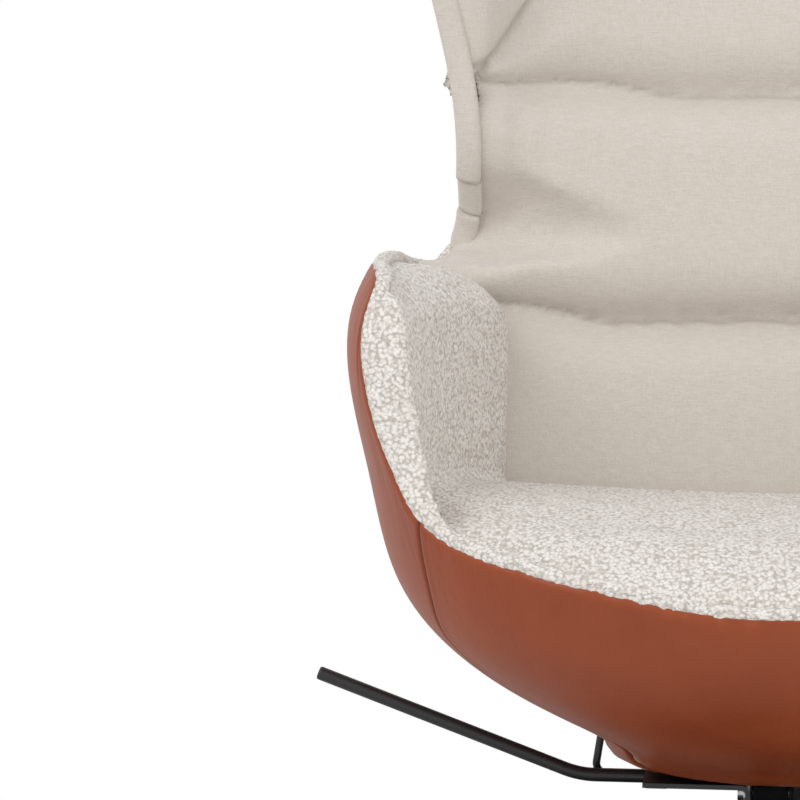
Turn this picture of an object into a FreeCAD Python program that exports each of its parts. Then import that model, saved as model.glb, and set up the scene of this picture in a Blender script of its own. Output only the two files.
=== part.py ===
"""Swivel rocker: an upholstered bucket chair on a round steel foot.

Millimetres, +Z up. The chair faces -Y and the origin lies on the floor, on the
axis of the column. The sitter's left is +X, and the rocking lock's lever is on -X.
"""
import FreeCAD, Part
import math
import os
import re
import Sketcher
from FreeCAD import Placement, Rotation, Vector

doc = FreeCAD.newDocument("SwivelRocker")

# Driving dimensions: name, value, what it is
SIZES = [
    # Foot and column
    ("pad_thick", 3, "rubber sheet under the foot"),
    ("pad_inset", 10, "the sheet's edge in from the plate's edge"),
    ("plate_radius", 335, "round steel foot"),
    ("plate_edge", 6, "thickness at the rim"),
    ("plate_rise", 6, "dome of the plate at its middle"),
    ("column_radius", 30, "outside of the column"),
    ("column_wall", 4, "wall of the column tube"),
    ("column_top", 150, "top of the column above the floor"),
    ("flange_radius", 78, "column's bolted foot flange"),
    ("flange_thick", 7, "thickness of that flange"),
    ("foot_bolt_circle", 57, "radius of its bolt circle"),
    ("foot_bolt_radius", 4, "shank of the foot bolts"),
    ("bush_length", 24, "each swivel bush"),
    ("bush_lip", 2.5, "lip of each swivel bush"),
    ("thrust_thick", 4, "thrust washer on the upper bush"),
    ("spindle_radius", 12.5, "turning spindle"),
    ("spindle_low", 44, "lower end of the spindle"),
    ("spindle_top", 190, "upper end of the spindle"),
    ("retainer_thick", 4, "retaining washer under the spindle"),
    ("fit", 0.05, "radial running clearance"),
    ("soft_gap", 0.8, "clearance round soft and curved pieces"),
    ("hole_gap", 0.3, "radial clearance of bolt holes"),
    # Rocking unit
    ("axle_height", 208, "rocking axle above the floor"),
    ("axle_radius", 8, "rocking axle"),
    ("axle_overhang", 9, "axle beyond each wall of the pan"),
    ("hub_half_width", 32, "carrier block across"),
    ("hub_half_depth", 26, "carrier block fore and aft"),
    ("hub_cover", 16, "block above and below the axle"),
    ("boss_radius", 29, "round socket under the block"),
    ("arm_reach", 60, "carrier's stop arms, fore and aft"),
    ("arm_half_width", 17, "half width of the stop arms"),
    ("arm_thick", 7, "thickness of the stop arms"),
    ("arm_lift", 2, "underside of the stop arms above the axle"),
    ("rock_back", 14, "rearward rock, degrees"),
    ("rock_front", 6, "forward rock, degrees"),
    ("stop_gap", 1.2, "what is left at each stop"),
    ("stop_length", 12, "rubber stops, fore and aft"),
    ("sector_thick", 4, "brake sector"),
    ("sector_radius", 46, "outside of the brake sector"),
    ("sector_hub", 7, "sector's round back, out from its bore"),
    ("bush_rubber_radius", 13, "rubber torsion bush"),
    # Seat pan
    ("pan_half_width", 71, "outside of the pan's walls"),
    ("pan_depth", 50, "pan below the shell"),
    ("pan_steel", 4, "sheet of the pan"),
    ("pan_bend", 8, "outer bend radius of the pan"),
    ("pan_half_length", 112, "pan fore and aft"),
    ("pan_reach", 156, "pan's flanges, out from the middle"),
    ("pan_window", 46, "half of the square window for the column"),
    ("bolt_inner", 83, "inner row of seat bolts"),
    ("bolt_outer", 116, "outer row of seat bolts"),
    ("bolt_fore", 70, "seat bolts fore and aft of the middle"),
    ("bolt_radius", 4, "shank of the seat bolts"),
    ("bolt_head_radius", 6.6, "domed head"),
    ("bolt_head_thick", 5, "height of the domed head"),
    ("bolt_bite", 14, "thread inside the shell"),
    ("washer_proud", 1, "washer beyond the bolt's head"),
    ("washer_thick", 1.6, "washer under the bolt's head"),
    ("hex_radius", 2.9, "corners of the hexagon socket"),
    # Lever and lock
    ("lever_back", 38, "lever behind the column's axis"),
    ("lever_height", 211, "lever's turning axis above the floor"),
    ("lever_radius", 6, "lever's rod"),
    ("lever_bend_at", 218, "bend, out from the middle"),
    ("lever_bend_radius", 80, "bend radius on the rod's axis"),
    ("lever_reach", 447, "free end, out from the middle"),
    ("lever_rise", 85, "free end above the turning axis"),
    ("lever_round", 2.2, "rounding of the free end"),
    ("block_inner", 142, "lever bearing's inner face"),
    ("block_outer", 160, "lever bearing's outer face"),
    ("block_front", 26, "front face of the lever bearing"),
    ("block_back", 61, "rear face of the lever bearing"),
    ("block_below", 9, "bearing below the lever's axis"),
    ("block_round", 3, "rounding of its lower edges"),
    ("screw_inset", 4.8, "bearing screws in from its faces"),
    ("screw_above", 5, "bearing screws above the lever's rod"),
    ("screw_head_radius", 2.3, "head of the bearing screws"),
    ("screw_head_thick", 2, ""),
    ("screw_radius", 1.2, "shank of the bearing screws"),
    ("screw_length", 10, ""),
    ("guide_radius", 3.4, "lever guide's wire"),
    ("guide_back", 54, "guide behind the column's axis"),
    ("guide_height", 209, "guide's level run above the floor"),
    ("guide_bend_at", 206, "guide's bend, out from the middle"),
    ("guide_bend_radius", 9, "bend radius of the guide"),
    ("guide_top_at", 194, "guide's top end, out from the middle"),
    ("guide_top", 286, "guide's top end above the floor"),
    ("barrel_radius", 12.5, "brake barrel"),
    ("shoe_radius", 8, "brake shoe"),
    ("shoe_length", 10, "brake shoe"),
    ("shoe_gap", 1.1, "shoe off the sector when the lock is open"),
    ("shoe_proud", 3, "shoe beyond the end of its barrel"),
    # Shell: levels, half widths and front and rear faces
    ("keel_height", 238, "flat underside"),
    ("keel_half_width", 124, ""),
    ("keel_front", 112, ""),
    ("keel_rear", 118, ""),
    ("turn_height", 268, "start of the bowl"),
    ("turn_half_width", 193, ""),
    ("turn_front", 186, ""),
    ("turn_rear", 195, ""),
    ("bilge_height", 322, "middle of the bowl"),
    ("bilge_half_width", 278, ""),
    ("bilge_front", 286, ""),
    ("bilge_rear", 275, ""),
    ("lip_height", 413, "front lip"),
    ("lip_half_width", 362, ""),
    ("lip_front", 337, ""),
    ("lip_rear", 326, ""),
    ("cheek_height", 500, "foot of the arms"),
    ("cheek_half_width", 384, ""),
    ("cheek_front", 347, ""),
    ("cheek_rear", 345, ""),
    ("elbow_height", 635, "widest part of the arms"),
    ("elbow_half_width", 397, ""),
    ("elbow_front", 352, ""),
    ("elbow_rear", 364, ""),
    ("shoulder_height", 690, "top of the arms"),
    ("shoulder_half_width", 370, ""),
    ("shoulder_front", 338, ""),
    ("shoulder_rear", 375, ""),
    ("waist_height", 750, "waist above the arms"),
    ("waist_half_width", 348, ""),
    ("waist_front", 320, ""),
    ("waist_rear", 386, ""),
    ("wing_height", 900, "wings"),
    ("wing_half_width", 368, ""),
    ("wing_front", 310, ""),
    ("wing_rear", 408, ""),
    ("brow_height", 1030, "top of the wings"),
    ("brow_half_width", 352, ""),
    ("brow_front", 310, ""),
    ("brow_rear", 426, ""),
    ("crown_height", 1092, "top of the shell"),
    ("crown_half_width", 262, ""),
    ("crown_front", 310, ""),
    ("crown_rear", 434, ""),
    ("skin", 2.8, "leather on its thin foam"),
    ("frame_wall", 18, "moulded frame under the leather"),
    ("joint_gap", 0.3, "between neighbouring panels"),
    ("skin_gap", 1.4, "between the leather and the frame"),
    ("frame_drop", 20, "frame's edge behind the rim"),
    ("apron_seam", 238, "seam of the apron at the lip, forward of the column"),
    ("back_seam", 262, "seam of the back panel above the arms"),
    ("back_joint", 270, "joint of the back frame and the side frames"),
    # Rim of the shell, seen from the side
    ("arm_front", 190, "front of the arm's top"),
    ("arm_level", 664, "rim along the arm"),
    ("valley_back", 190, "where the rim turns up to the wing"),
    ("wing_edge", 148, "wing's rim behind the column's axis"),
    ("temple_edge", 120, "foremost point of the wing's rim"),
    ("temple_height", 985, ""),
    # Upholstery
    ("pad_proud", 9, "padding in front of the shell's rim"),
    ("seat_crest", 469, "highest line of the seat"),
    ("seat_crest_back", -95, "where that line lies"),
    ("seat_rear_height", 442, "seat at the back pads"),
    ("seat_under", 352, "underside of the seat cushion"),
    ("seat_dish", 13, "seat's rise towards the arms"),
    ("back_foot", 172, "back pads' face at the seat"),
    ("seam_one", 592, "seam over the lumbar pad"),
    ("seam_one_back", 214, ""),
    ("seam_two", 794, "seam over the middle pad"),
    ("seam_two_back", 262, ""),
    ("back_top_back", 338, "face of the head pad at its top"),
    ("channel_crown", 17, "swell of each channel"),
    ("back_hollow", 92, "back's depth at the wings"),
    ("wing_seam", 326, "seam of head pad and wing pad at its foot, from the middle"),
    ("wing_seam_middle", 268, ""),
    ("wing_seam_rise", 88, "height of that middle place over seam two"),
    ("wing_seam_top", 180, ""),
    ("arm_inner_front", 362, "arm's inner face at its front"),
    ("arm_inner_rear", 291, "arm's inner face at the back pads"),
    ("arm_crown", 675, "top of the arm pads"),
    ("webbing_thick", 3, "elastic webbing under the cushion"),
]

sheet = doc.addObject("Spreadsheet::Sheet", "Sizes")
for row, (name, value, note) in enumerate(SIZES, 1):
    sheet.set("A%d" % row, name)
    sheet.set("B%d" % row, str(value))
    sheet.setAlias("B%d" % row, name)
    if note:
        sheet.set("C%d" % row, note)
doc.recompute()


def size(name):
    """The value of a cell of the sheet."""
    return float(sheet.get(name))


PARTS = {}


def bind(obj, **expressions):
    """Tie properties of an object to expressions in cell names."""
    for path, text in expressions.items():
        obj.setExpression(path.replace("__", "."), cells(text))
    return obj


def cells(text):
    """Write cell names in an expression as references to the sheet."""
    return re.sub(r"[a-z_]+", lambda m: "Sizes." + m.group() if m.group() in NAMES else m.group(), text)


NAMES = {name for name, _, _ in SIZES}


def place(obj, x="0", y="0", z="0"):
    return bind(obj, Placement__Base__x=x, Placement__Base__y=y, Placement__Base__z=z)


def block(label, wide, deep, tall, x, y, z):
    """A box by its sizes and its least corner."""
    obj = doc.addObject("Part::Box", label)
    bind(obj, Length=wide, Width=deep, Height=tall)
    return place(obj, x, y, z)


def rod(label, radius, length, x, y, z, along="Z"):
    """A cylinder from a point, along an axis."""
    obj = doc.addObject("Part::Cylinder", label)
    turn = {"Z": Rotation(), "X": Rotation(Vector(0, 1, 0), 90), "Y": Rotation(Vector(1, 0, 0), -90)}
    obj.Placement = Placement(Vector(), turn[along])
    bind(obj, Radius=radius, Height=length)
    return place(obj, x, y, z)


def fuse(label, *pieces):
    obj = doc.addObject("Part::MultiFuse", label)
    obj.Shapes = list(pieces)
    obj.Refine = True
    return obj


def group(label, *pieces):
    """Separate solids of one kind in one node."""
    obj = doc.addObject("Part::Compound", label)
    obj.Links = list(pieces)
    return obj


def cut(label, base, *tools):
    obj = doc.addObject("Part::Cut", label)
    obj.Base = base
    obj.Tool = tools[0] if len(tools) == 1 else fuse(label + "_tools", *tools)
    return obj


def keep(obj, node=None):
    """Register a finished sub-part under its node's name."""
    node = node or obj.Label
    obj.Label = node
    PARTS[node] = obj
    return obj


def shaped(node, shape):
    """A sub-part whose shape is made from the sheet's sizes by functions."""
    obj = doc.addObject("Part::Feature", node)
    obj.Shape = shape
    obj.Placement = Placement()
    return keep(obj, node)


def turned(node, points):
    """A PartDesign revolution about Z; points are (radius, height) expressions."""
    body = doc.addObject("PartDesign::Body", node)
    sketch = outline(body, node + "_outline", "XZ_Plane", points)
    turn = body.newObject("PartDesign::Revolution", node + "_turn")
    turn.Profile = sketch
    turn.ReferenceAxis = (sketch, ["V_Axis"])
    turn.Angle = 360
    sketch.Visibility = False
    return keep(body, node)


def plane(body, role):
    return next(f for f in body.Origin.OriginFeatures if f.Role == role)


def outline(body, name, role, points):
    """A closed sketch through points whose coordinates are expressions."""
    sketch = body.newObject("Sketcher::SketchObject", name)
    sketch.AttachmentSupport = [(plane(body, role), "")]
    sketch.MapMode = "FlatFace"
    values = [tuple(number(text) for text in point) for point in points]
    for here, there in zip(values, values[1:] + values[:1]):
        sketch.addGeometry(Part.LineSegment(Vector(*here, 0), Vector(*there, 0)))
    count = len(points)
    for k in range(count):
        sketch.addConstraint(Sketcher.Constraint("Coincident", k, 2, (k + 1) % count, 1))
    for k, point in enumerate(points):
        for axis, text, value in zip(("DistanceX", "DistanceY"), point, values[k]):
            if text == "0":
                sketch.addConstraint(Sketcher.Constraint("PointOnObject", k, 1, -2 if axis == "DistanceX" else -1))
                continue
            row = sketch.addConstraint(Sketcher.Constraint(axis, -1, 1, k, 1, value))
            sketch.setExpression("Constraints[%d]" % row, cells(text))
    return sketch


def number(text):
    """The value of an expression in cell names."""
    doc.getObject("Scratch").set("A1", "=" + cells(text))
    doc.getObject("Scratch").recompute()
    value = doc.getObject("Scratch").get("A1")
    return float(getattr(value, "Value", value))


doc.addObject("Spreadsheet::Sheet", "Scratch")


# Foot and column

def floor_pad():
    keep(rod("floor_pad", "plate_radius - pad_inset", "pad_thick", "0", "0", "0"))


def base_plate():
    turned("base_plate", [
        ("0", "pad_thick"),
        ("plate_radius - plate_edge / 4", "pad_thick"),
        ("plate_radius", "pad_thick + plate_edge / 4"),
        ("plate_radius", "pad_thick + plate_edge * 3 / 4"),
        ("plate_radius - plate_edge / 4", "pad_thick + plate_edge"),
        ("flange_radius + 2", "pad_thick + plate_edge + plate_rise"),
        ("0", "pad_thick + plate_edge + plate_rise"),
    ])


PLATE_TOP = "pad_thick + plate_edge + plate_rise"


def ring_of(label, piece, count):
    """Copies of a piece about the column's axis."""
    copies = []
    for k in range(count):
        turned_piece = piece(label + "_%d" % k)
        angle = math.radians(360 * (k + 0.5) / count)
        place(turned_piece, "foot_bolt_circle * %.6f" % math.cos(angle),
              "foot_bolt_circle * %.6f" % math.sin(angle), piece.level)
        copies.append(turned_piece)
    return copies


def column():
    tube = rod("column_tube_outer", "column_radius", "column_top - pad_thick - plate_edge - plate_rise",
               "0", "0", PLATE_TOP)
    flange = rod("column_flange", "flange_radius", "flange_thick", "0", "0", PLATE_TOP)
    bore = rod("column_bore", "column_radius - column_wall", "column_top", "0", "0", PLATE_TOP)

    def hole(label):
        return rod(label, "foot_bolt_radius + 0.3", "flange_thick * 2", "0", "0", "0")
    hole.level = PLATE_TOP + " - flange_thick / 2"
    keep(cut("column_tube", fuse("column_weldment", tube, flange), bore, *ring_of("foot_hole", hole, 4)))

    def shank(label):
        return rod(label, "foot_bolt_radius", "flange_thick", "0", "0", "0")
    shank.level = PLATE_TOP

    def head(label):
        return rod(label, "foot_bolt_radius * 1.7", "foot_bolt_radius * 1.2", "0", "0", "0")
    head.level = PLATE_TOP + " + flange_thick"
    shanks, heads = ring_of("foot_shank", shank, 4), ring_of("foot_head", head, 4)
    keep(group("foot_bolts", *[fuse("foot_bolt_%d" % k, a, b) for k, (a, b) in enumerate(zip(shanks, heads))]))


def swivel_bush(node, low, lip_low):
    barrel = rod(node + "_barrel", "column_radius - column_wall - fit", "bush_length", "0", "0", low)
    lip = rod(node + "_lip", "column_radius - 1", "bush_lip", "0", "0", lip_low)
    bore = rod(node + "_bore", "spindle_radius + fit", "bush_length * 2 + bush_lip", "0", "0", low + " - bush_length / 2")
    return keep(cut(node, fuse(node + "_body", barrel, lip), bore))


def swivel():
    swivel_bush("upper_bush", "column_top - bush_length", "column_top")
    low = rod("lower_bush_barrel", "column_radius - column_wall - fit", "bush_length", "0", "0",
              "spindle_low + joint_gap")
    bore = rod("lower_bush_bore", "spindle_radius + fit", "bush_length + 2", "0", "0",
               "spindle_low + joint_gap - 1")
    keep(cut("lower_bush", low, bore))
    washer = rod("thrust_disc", "boss_radius", "thrust_thick", "0", "0", "column_top + bush_lip")
    hole = rod("thrust_bore", "spindle_radius + fit", "thrust_thick", "0", "0", "column_top + bush_lip")
    keep(cut("thrust_washer", washer, hole))
    keep(rod("spindle", "spindle_radius", "spindle_top - spindle_low", "0", "0", "spindle_low"))
    plate = rod("retainer_disc", "spindle_radius + 6", "retainer_thick", "0", "0", "spindle_low - retainer_thick")
    stem = rod("retainer_head", "5", "4", "0", "0", "spindle_low - retainer_thick - 4")
    keep(fuse("spindle_retainer", plate, stem))


# Rocking unit

BOSS_LOW = "column_top + bush_lip + thrust_thick + fit"


def carrier():
    body = block("hub_block", "hub_half_width * 2", "hub_half_depth * 2", "hub_cover * 2",
                 "-hub_half_width", "-hub_half_depth", "axle_height - hub_cover")
    boss = rod("hub_boss", "boss_radius", "axle_height - hub_cover / 2 - ( " + BOSS_LOW + " )", "0", "0", BOSS_LOW)
    arms = block("hub_arms", "arm_half_width * 2", "arm_reach * 2", "arm_thick",
                 "-arm_half_width", "-arm_reach", "axle_height + arm_lift")
    bore = rod("hub_axle_bore", "axle_radius + fit", "hub_half_width * 4", "-hub_half_width * 2", "0",
               "axle_height", "X")
    socket = rod("hub_socket", "spindle_radius + 0.02", "spindle_top - ( " + BOSS_LOW + " ) + 10.5", "0", "0",
                 BOSS_LOW + " - 10")
    keep(cut("tilt_carrier", fuse("hub_solid", body, boss, arms), bore, socket))


def sector_solid(grow=0.0):
    """Flat plate with a rim that the brake shoe faces at every rock."""
    half = math.degrees(math.asin(size("shoe_radius") / size("lever_back"))) + 1
    low, high = -(size("rock_back") + half), size("rock_front") + half
    radius, x = size("sector_radius"), -size("hub_half_width") - size("joint_gap") / 3 - size("sector_thick")
    centre = Vector(x, 0, size("axle_height"))

    def at(angle, r):
        a = math.radians(angle)
        return centre + Vector(0, r * math.cos(a), r * math.sin(a))
    small = size("axle_radius") + size("sector_hub") + size("washer_proud")
    edges = [Part.LineSegment(at(low, small), at(low, radius)).toShape(),
             Part.Arc(at(low, radius), at((low + high) / 2, radius), at(high, radius)).toShape(),
             Part.LineSegment(at(high, radius), at(high, small)).toShape(),
             Part.Arc(at(high, small), at((low + high) / 2 + 180, small), at(low, small)).toShape()]
    plate = Part.Face(Part.Wire(edges)).extrude(Vector(size("sector_thick"), 0, 0))
    bore = Part.makeCylinder(size("axle_radius") + size("hole_gap"), 20, centre - Vector(5, 0, 0), Vector(1, 0, 0))
    return plate.cut(bore)


def rocking_unit():
    carrier()
    shaped("brake_sector", sector_solid())
    wall_in = "pan_half_width - pan_steel"
    for node, x, length in (
            ("torsion_bush_left", "hub_half_width + joint_gap", "pan_half_width - pan_steel - hub_half_width - joint_gap * 2"),
            ("torsion_bush_right", "-( %s ) + joint_gap" % wall_in,
             "pan_half_width - pan_steel - hub_half_width - sector_thick - joint_gap * 3")):
        tube = rod(node + "_tube", "bush_rubber_radius", length, x, "0", "axle_height", "X")
        bore = rod(node + "_bore", "axle_radius + fit", length, x, "0", "axle_height", "X")
        keep(cut(node, tube, bore))
    keep(rod("tilt_axle", "axle_radius", "( pan_half_width + axle_overhang ) * 2",
             "-pan_half_width - axle_overhang", "0", "axle_height", "X"))
    clips = []
    for side in ("-", ""):
        x = "-pan_half_width - 4" if side else "pan_half_width + 0.5"
        disc = rod("axle_clip_disc" + side.replace("-", "_r"), "axle_radius + 5", "3.5", x, "0", "axle_height", "X")
        hole = rod("axle_clip_hole" + side.replace("-", "_r"), "axle_radius + fit", "3.5", x, "0", "axle_height", "X")
        clips.append(cut("axle_clip" + side.replace("-", "_r"), disc, hole))
    keep(group("axle_clips", *clips))


# Seat pan and what is bolted to it

def bolt_spots():
    return [(sx * size(row), sy * size("bolt_fore")) for row in ("bolt_inner", "bolt_outer")
            for sx in (-1, 1) for sy in (-1, 1)]


def seat_pan():
    """Hat section of pressed sheet, open upwards, with a window for the column."""
    steel, half, reach = size("pan_steel"), size("pan_half_width"), size("pan_reach")
    top, low = size("keel_height"), size("keel_height") - size("pan_depth")
    bend, y = size("pan_bend"), -size("pan_half_length")
    inner = bend - steel

    def corner(x, z, start, radius, side):
        """Quarter arc about (x, z) from the start angle."""
        angles = [math.radians(start + side * step) for step in (0, 45, 90)]
        return Part.Arc(*[Vector(x + radius * math.cos(a), y, z + radius * math.sin(a)) for a in angles]).toShape()
    edges = []

    def line(x1, z1, x2, z2):
        edges.append(Part.LineSegment(Vector(x1, y, z1), Vector(x2, y, z2)).toShape())
    inside = half - steel
    line(-reach, top - steel, -half - inner, top - steel)
    edges.append(corner(-half - inner, top - bend, 90, inner, -1))
    line(-half, top - bend, -half, low + bend)
    edges.append(corner(-half + bend, low + bend, 180, bend, 1))
    line(-half + bend, low, half - bend, low)
    edges.append(corner(half - bend, low + bend, -90, bend, 1))
    line(half, low + bend, half, top - bend)
    edges.append(corner(half + inner, top - bend, 180, inner, -1))
    line(half + inner, top - steel, reach, top - steel)
    line(reach, top - steel, reach, top)
    line(reach, top, half + inner, top)
    edges.append(corner(half + inner, top - bend, 90, bend, 1))
    line(inside, top - bend, inside, low + bend)
    edges.append(corner(inside - inner, low + bend, 0, inner, -1))
    line(inside - inner, low + steel, -inside + inner, low + steel)
    edges.append(corner(-inside + inner, low + bend, -90, inner, -1))
    line(-inside, low + bend, -inside, top - bend)
    edges.append(corner(-half - inner, top - bend, 0, bend, 1))
    line(-half - inner, top, -reach, top)
    line(-reach, top, -reach, top - steel)
    profile = Part.Face(Part.Wire(Part.__sortEdges__(edges)))
    pan = profile.extrude(Vector(0, 2 * size("pan_half_length"), 0))
    window = size("pan_window")
    holes = [Part.makeBox(2 * window, 2 * window, 3 * steel, Vector(-window, -window, low - steel))]
    for sx, sy in bolt_spots():
        holes.append(Part.makeCylinder(size("bolt_radius") + size("hole_gap"), 3 * steel, Vector(sx, sy, top - 2 * steel)))
    holes.append(Part.makeCylinder(size("axle_radius") + size("fit"), 4 * half,
                                   Vector(-2 * half, 0, size("axle_height")), Vector(1, 0, 0)))
    holes.append(Part.makeCylinder(size("lever_radius") + 0.5, half,
                                   Vector(-1.5 * half, size("lever_back"), size("lever_height")), Vector(1, 0, 0)))
    shaped("seat_pan", pan.cut(holes))


def seat_bolts():
    """Button-head screws with washers, from below through the pan into the frame."""
    bolts = []
    under = "keel_height - pan_steel - washer_thick"
    for k, (row, sx, sy) in enumerate((row, sx, sy) for row in ("bolt_inner", "bolt_outer")
                                      for sx in ("-", "") for sy in ("-", "")):
        x, y = sx + row, sy + "bolt_fore"
        washer = rod("bolt_washer_%d" % k, "bolt_head_radius + washer_proud", "washer_thick", x, y, under)
        shank = rod("bolt_shank_%d" % k, "bolt_radius", "pan_steel + washer_thick + bolt_bite", x, y, under)
        head = doc.addObject("Part::Ellipsoid", "bolt_head_%d" % k)
        bind(head, Radius1="bolt_head_thick", Radius2="bolt_head_radius", Radius3="bolt_head_radius")
        head.Angle1, head.Angle2, head.Angle3 = -90, 0, 360
        place(head, x, y, under)
        socket = doc.addObject("Part::Prism", "bolt_socket_%d" % k)
        socket.Polygon = 6
        bind(socket, Circumradius="hex_radius", Height="bolt_head_thick / 2")
        place(socket, x, y, under + " - bolt_head_thick")
        bolts.append(cut("seat_bolt_%d" % k, fuse("bolt_solid_%d" % k, washer, head, shank), socket))
    keep(group("seat_bolts", *bolts))


def rubber_stops():
    """Stops on the pan's web, which the carrier's arms reach at the end of each rock."""
    floor = "keel_height - pan_depth + pan_steel"
    blocks = []
    for name, y, rock in (("rear", "arm_reach - stop_length", "rock_front"), ("front", "-arm_reach", "rock_back")):
        tall = "axle_height + arm_lift * cos( %s ) - arm_reach * sin( %s ) - stop_gap - ( %s )" % (rock, rock, floor)
        blocks.append(block(name + "_stop", "arm_half_width * 2", "stop_length", tall, "-arm_half_width", y, floor))
    keep(group("rock_stops", *blocks))


# Lever, its bearing and guide, and the brake

def lever_points():
    x0 = -size("pan_half_width") + size("pan_steel") + 18
    bend, reach, rise = size("lever_bend_at"), size("lever_reach"), size("lever_rise")
    y, z = size("lever_back"), size("lever_height")
    return [Vector(x0, y, z), Vector(-bend, y, z), Vector(-reach, y, z + rise)]


def bent_path(points, radius):
    """Straight runs joined by a tangent arc at each inner point."""
    edges, here = [], points[0]
    for before, corner, after in zip(points, points[1:], points[2:]):
        into, out = (before - corner).normalize(), (after - corner).normalize()
        half = into.getAngle(out) / 2
        back = radius / math.tan(half)
        first, last = corner + into * back, corner + out * back
        centre = corner + (into + out).normalize() * (radius / math.sin(half))
        middle = centre + (corner - centre).normalize() * radius
        edges += [Part.LineSegment(here, first).toShape(), Part.Arc(first, middle, last).toShape()]
        here = last
    edges.append(Part.LineSegment(here, points[-1]).toShape())
    return Part.Wire(edges)


def bent_rod(points, bend, radius):
    path = bent_path(points, bend)
    start = Part.Wire(Part.makeCircle(radius, points[0], points[1] - points[0]))
    return path.makePipeShell([start], True, False)


def lever():
    points = lever_points()
    rod_solid = bent_rod(points, size("lever_bend_radius"), size("lever_radius"))
    end = points[-1]
    rim = [e for e in rod_solid.Edges if e.BoundBox.Center.distanceToPoint(end) < 0.5 and e.Closed]
    shaped("lever", rod_solid.makeFillet(size("lever_round"), rim))


def guide_points():
    x0, y, z = -size("block_inner"), size("guide_back"), size("guide_height")
    return [Vector(x0, y, z), Vector(-size("guide_bend_at"), y, z), Vector(-size("guide_top_at"), y, size("guide_top"))]


def lever_bearing():
    body = block("bearing_block", "block_outer - block_inner", "block_back - block_front",
                 "keel_height - pan_steel - lever_height + block_below",
                 "-block_outer", "block_front", "lever_height - block_below")
    doc.recompute()
    low = size("lever_height") - size("block_below")
    rounded = doc.addObject("Part::Fillet", "bearing_rounded")
    rounded.Base = body
    rounded.Edges = [(k, size("block_round"), size("block_round")) for k, edge in enumerate(body.Shape.Edges, 1)
                     if edge.BoundBox.ZMax - low < 0.01 and edge.BoundBox.XLength > 1]
    bores = [rod("bearing_bore", "lever_radius + fit", "block_outer", "-block_outer * 3 / 2", "lever_back",
                 "lever_height", "X"),
             rod("guide_bore", "guide_radius + fit", "block_outer", "-block_outer * 3 / 2", "guide_back",
                 "guide_height", "X")]
    screws = []
    for k, x in enumerate(("-block_outer + screw_inset", "-block_inner - screw_inset")):
        z = "lever_height + lever_radius + screw_above"
        head = rod("screw_head_%d" % k, "screw_head_radius", "screw_head_thick", x, "block_front - screw_head_thick",
                   z, "Y")
        shank = rod("screw_shank_%d" % k, "screw_radius", "screw_length", x, "block_front", z, "Y")
        screws.append(fuse("bearing_screw_%d" % k, head, shank))
        bores.append(rod("screw_hole_%d" % k, "screw_radius + fit", "screw_length + hole_gap", x, "block_front", z, "Y"))
    keep(cut("lever_bearing", rounded, *bores))
    keep(group("bearing_screws", *screws))
    shaped("lever_guide", bent_rod(guide_points(), size("guide_bend_radius"), size("guide_radius")))


SHOE_FACE = "-hub_half_width - joint_gap / 3 - sector_thick - shoe_gap"


def brake():
    """Barrel on the pan's wall, and the shoe that slides in it towards the sector."""
    at = ("lever_back", "lever_height", "X")
    wall = "pan_half_width - pan_steel"
    barrel = rod("barrel_solid", "barrel_radius", "%s - shoe_proud + %s" % (SHOE_FACE, wall), "-( %s )" % wall, *at)
    bore = rod("barrel_bore", "shoe_radius + fit", "pan_half_width * 2", "-pan_half_width * 2", *at)
    keep(cut("brake_barrel", barrel, bore))
    keep(rod("brake_shoe", "shoe_radius", "shoe_length", SHOE_FACE + " - shoe_length", *at))


# Shell: rounded sections stacked from the flat underside to the crown

LEVELS = ("keel", "turn", "bilge", "lip", "cheek", "elbow", "shoulder", "waist", "wing", "brow", "crown")
# How far behind the column each section is widest, and how square its corners are
WIDEST = (0, -20, -40, -55, -60, -60, -35, 10, 20, 25, 40)
SQUARE = (3.4, 2.8, 2.6, 2.8, 2.9, 2.9, 2.8, 2.7, 2.6, 2.6, 2.6)


def section(k, inset):
    """Closed curve of the shell at one level, drawn in along the wall's slope."""
    def profile(j):
        j = min(max(j, 0), len(LEVELS) - 1)
        return size(LEVELS[j] + "_half_width"), size(LEVELS[j] + "_height")
    (a0, z0), (a1, z1) = profile(k - 1), profile(k + 1)
    slope = math.atan2(a1 - a0, z1 - z0) if k < 4 else 0.0
    level = LEVELS[k]
    if k == 0:
        drawn, lift = inset * 0.6, inset
    else:
        drawn, lift = inset * math.cos(slope), inset * math.sin(slope)
    wide = size(level + "_half_width") - drawn
    front = size(level + "_front") - drawn
    rear = size(level + "_rear") - drawn
    height = size(level + "_height") + lift
    square, middle = SQUARE[k], WIDEST[k]
    points = []
    count = 28
    for j in range(count):
        t = 2 * math.pi * j / count
        c, s = math.cos(t), math.sin(t)
        x = wide * math.copysign(abs(c) ** (2 / square), c)
        reach = (rear - middle) if s > 0 else (front + middle)
        points.append(Vector(x, middle + reach * math.copysign(abs(s) ** (2 / square), s), height))
    curve = Part.BSplineCurve()
    curve.interpolate(Points=points, PeriodicFlag=True)
    return Part.Wire(curve.toShape())


def hull(inset):
    """The shell's outside, drawn in by a distance."""
    return Part.makeLoft([section(k, inset) for k in range(len(LEVELS))], True, False)


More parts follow.
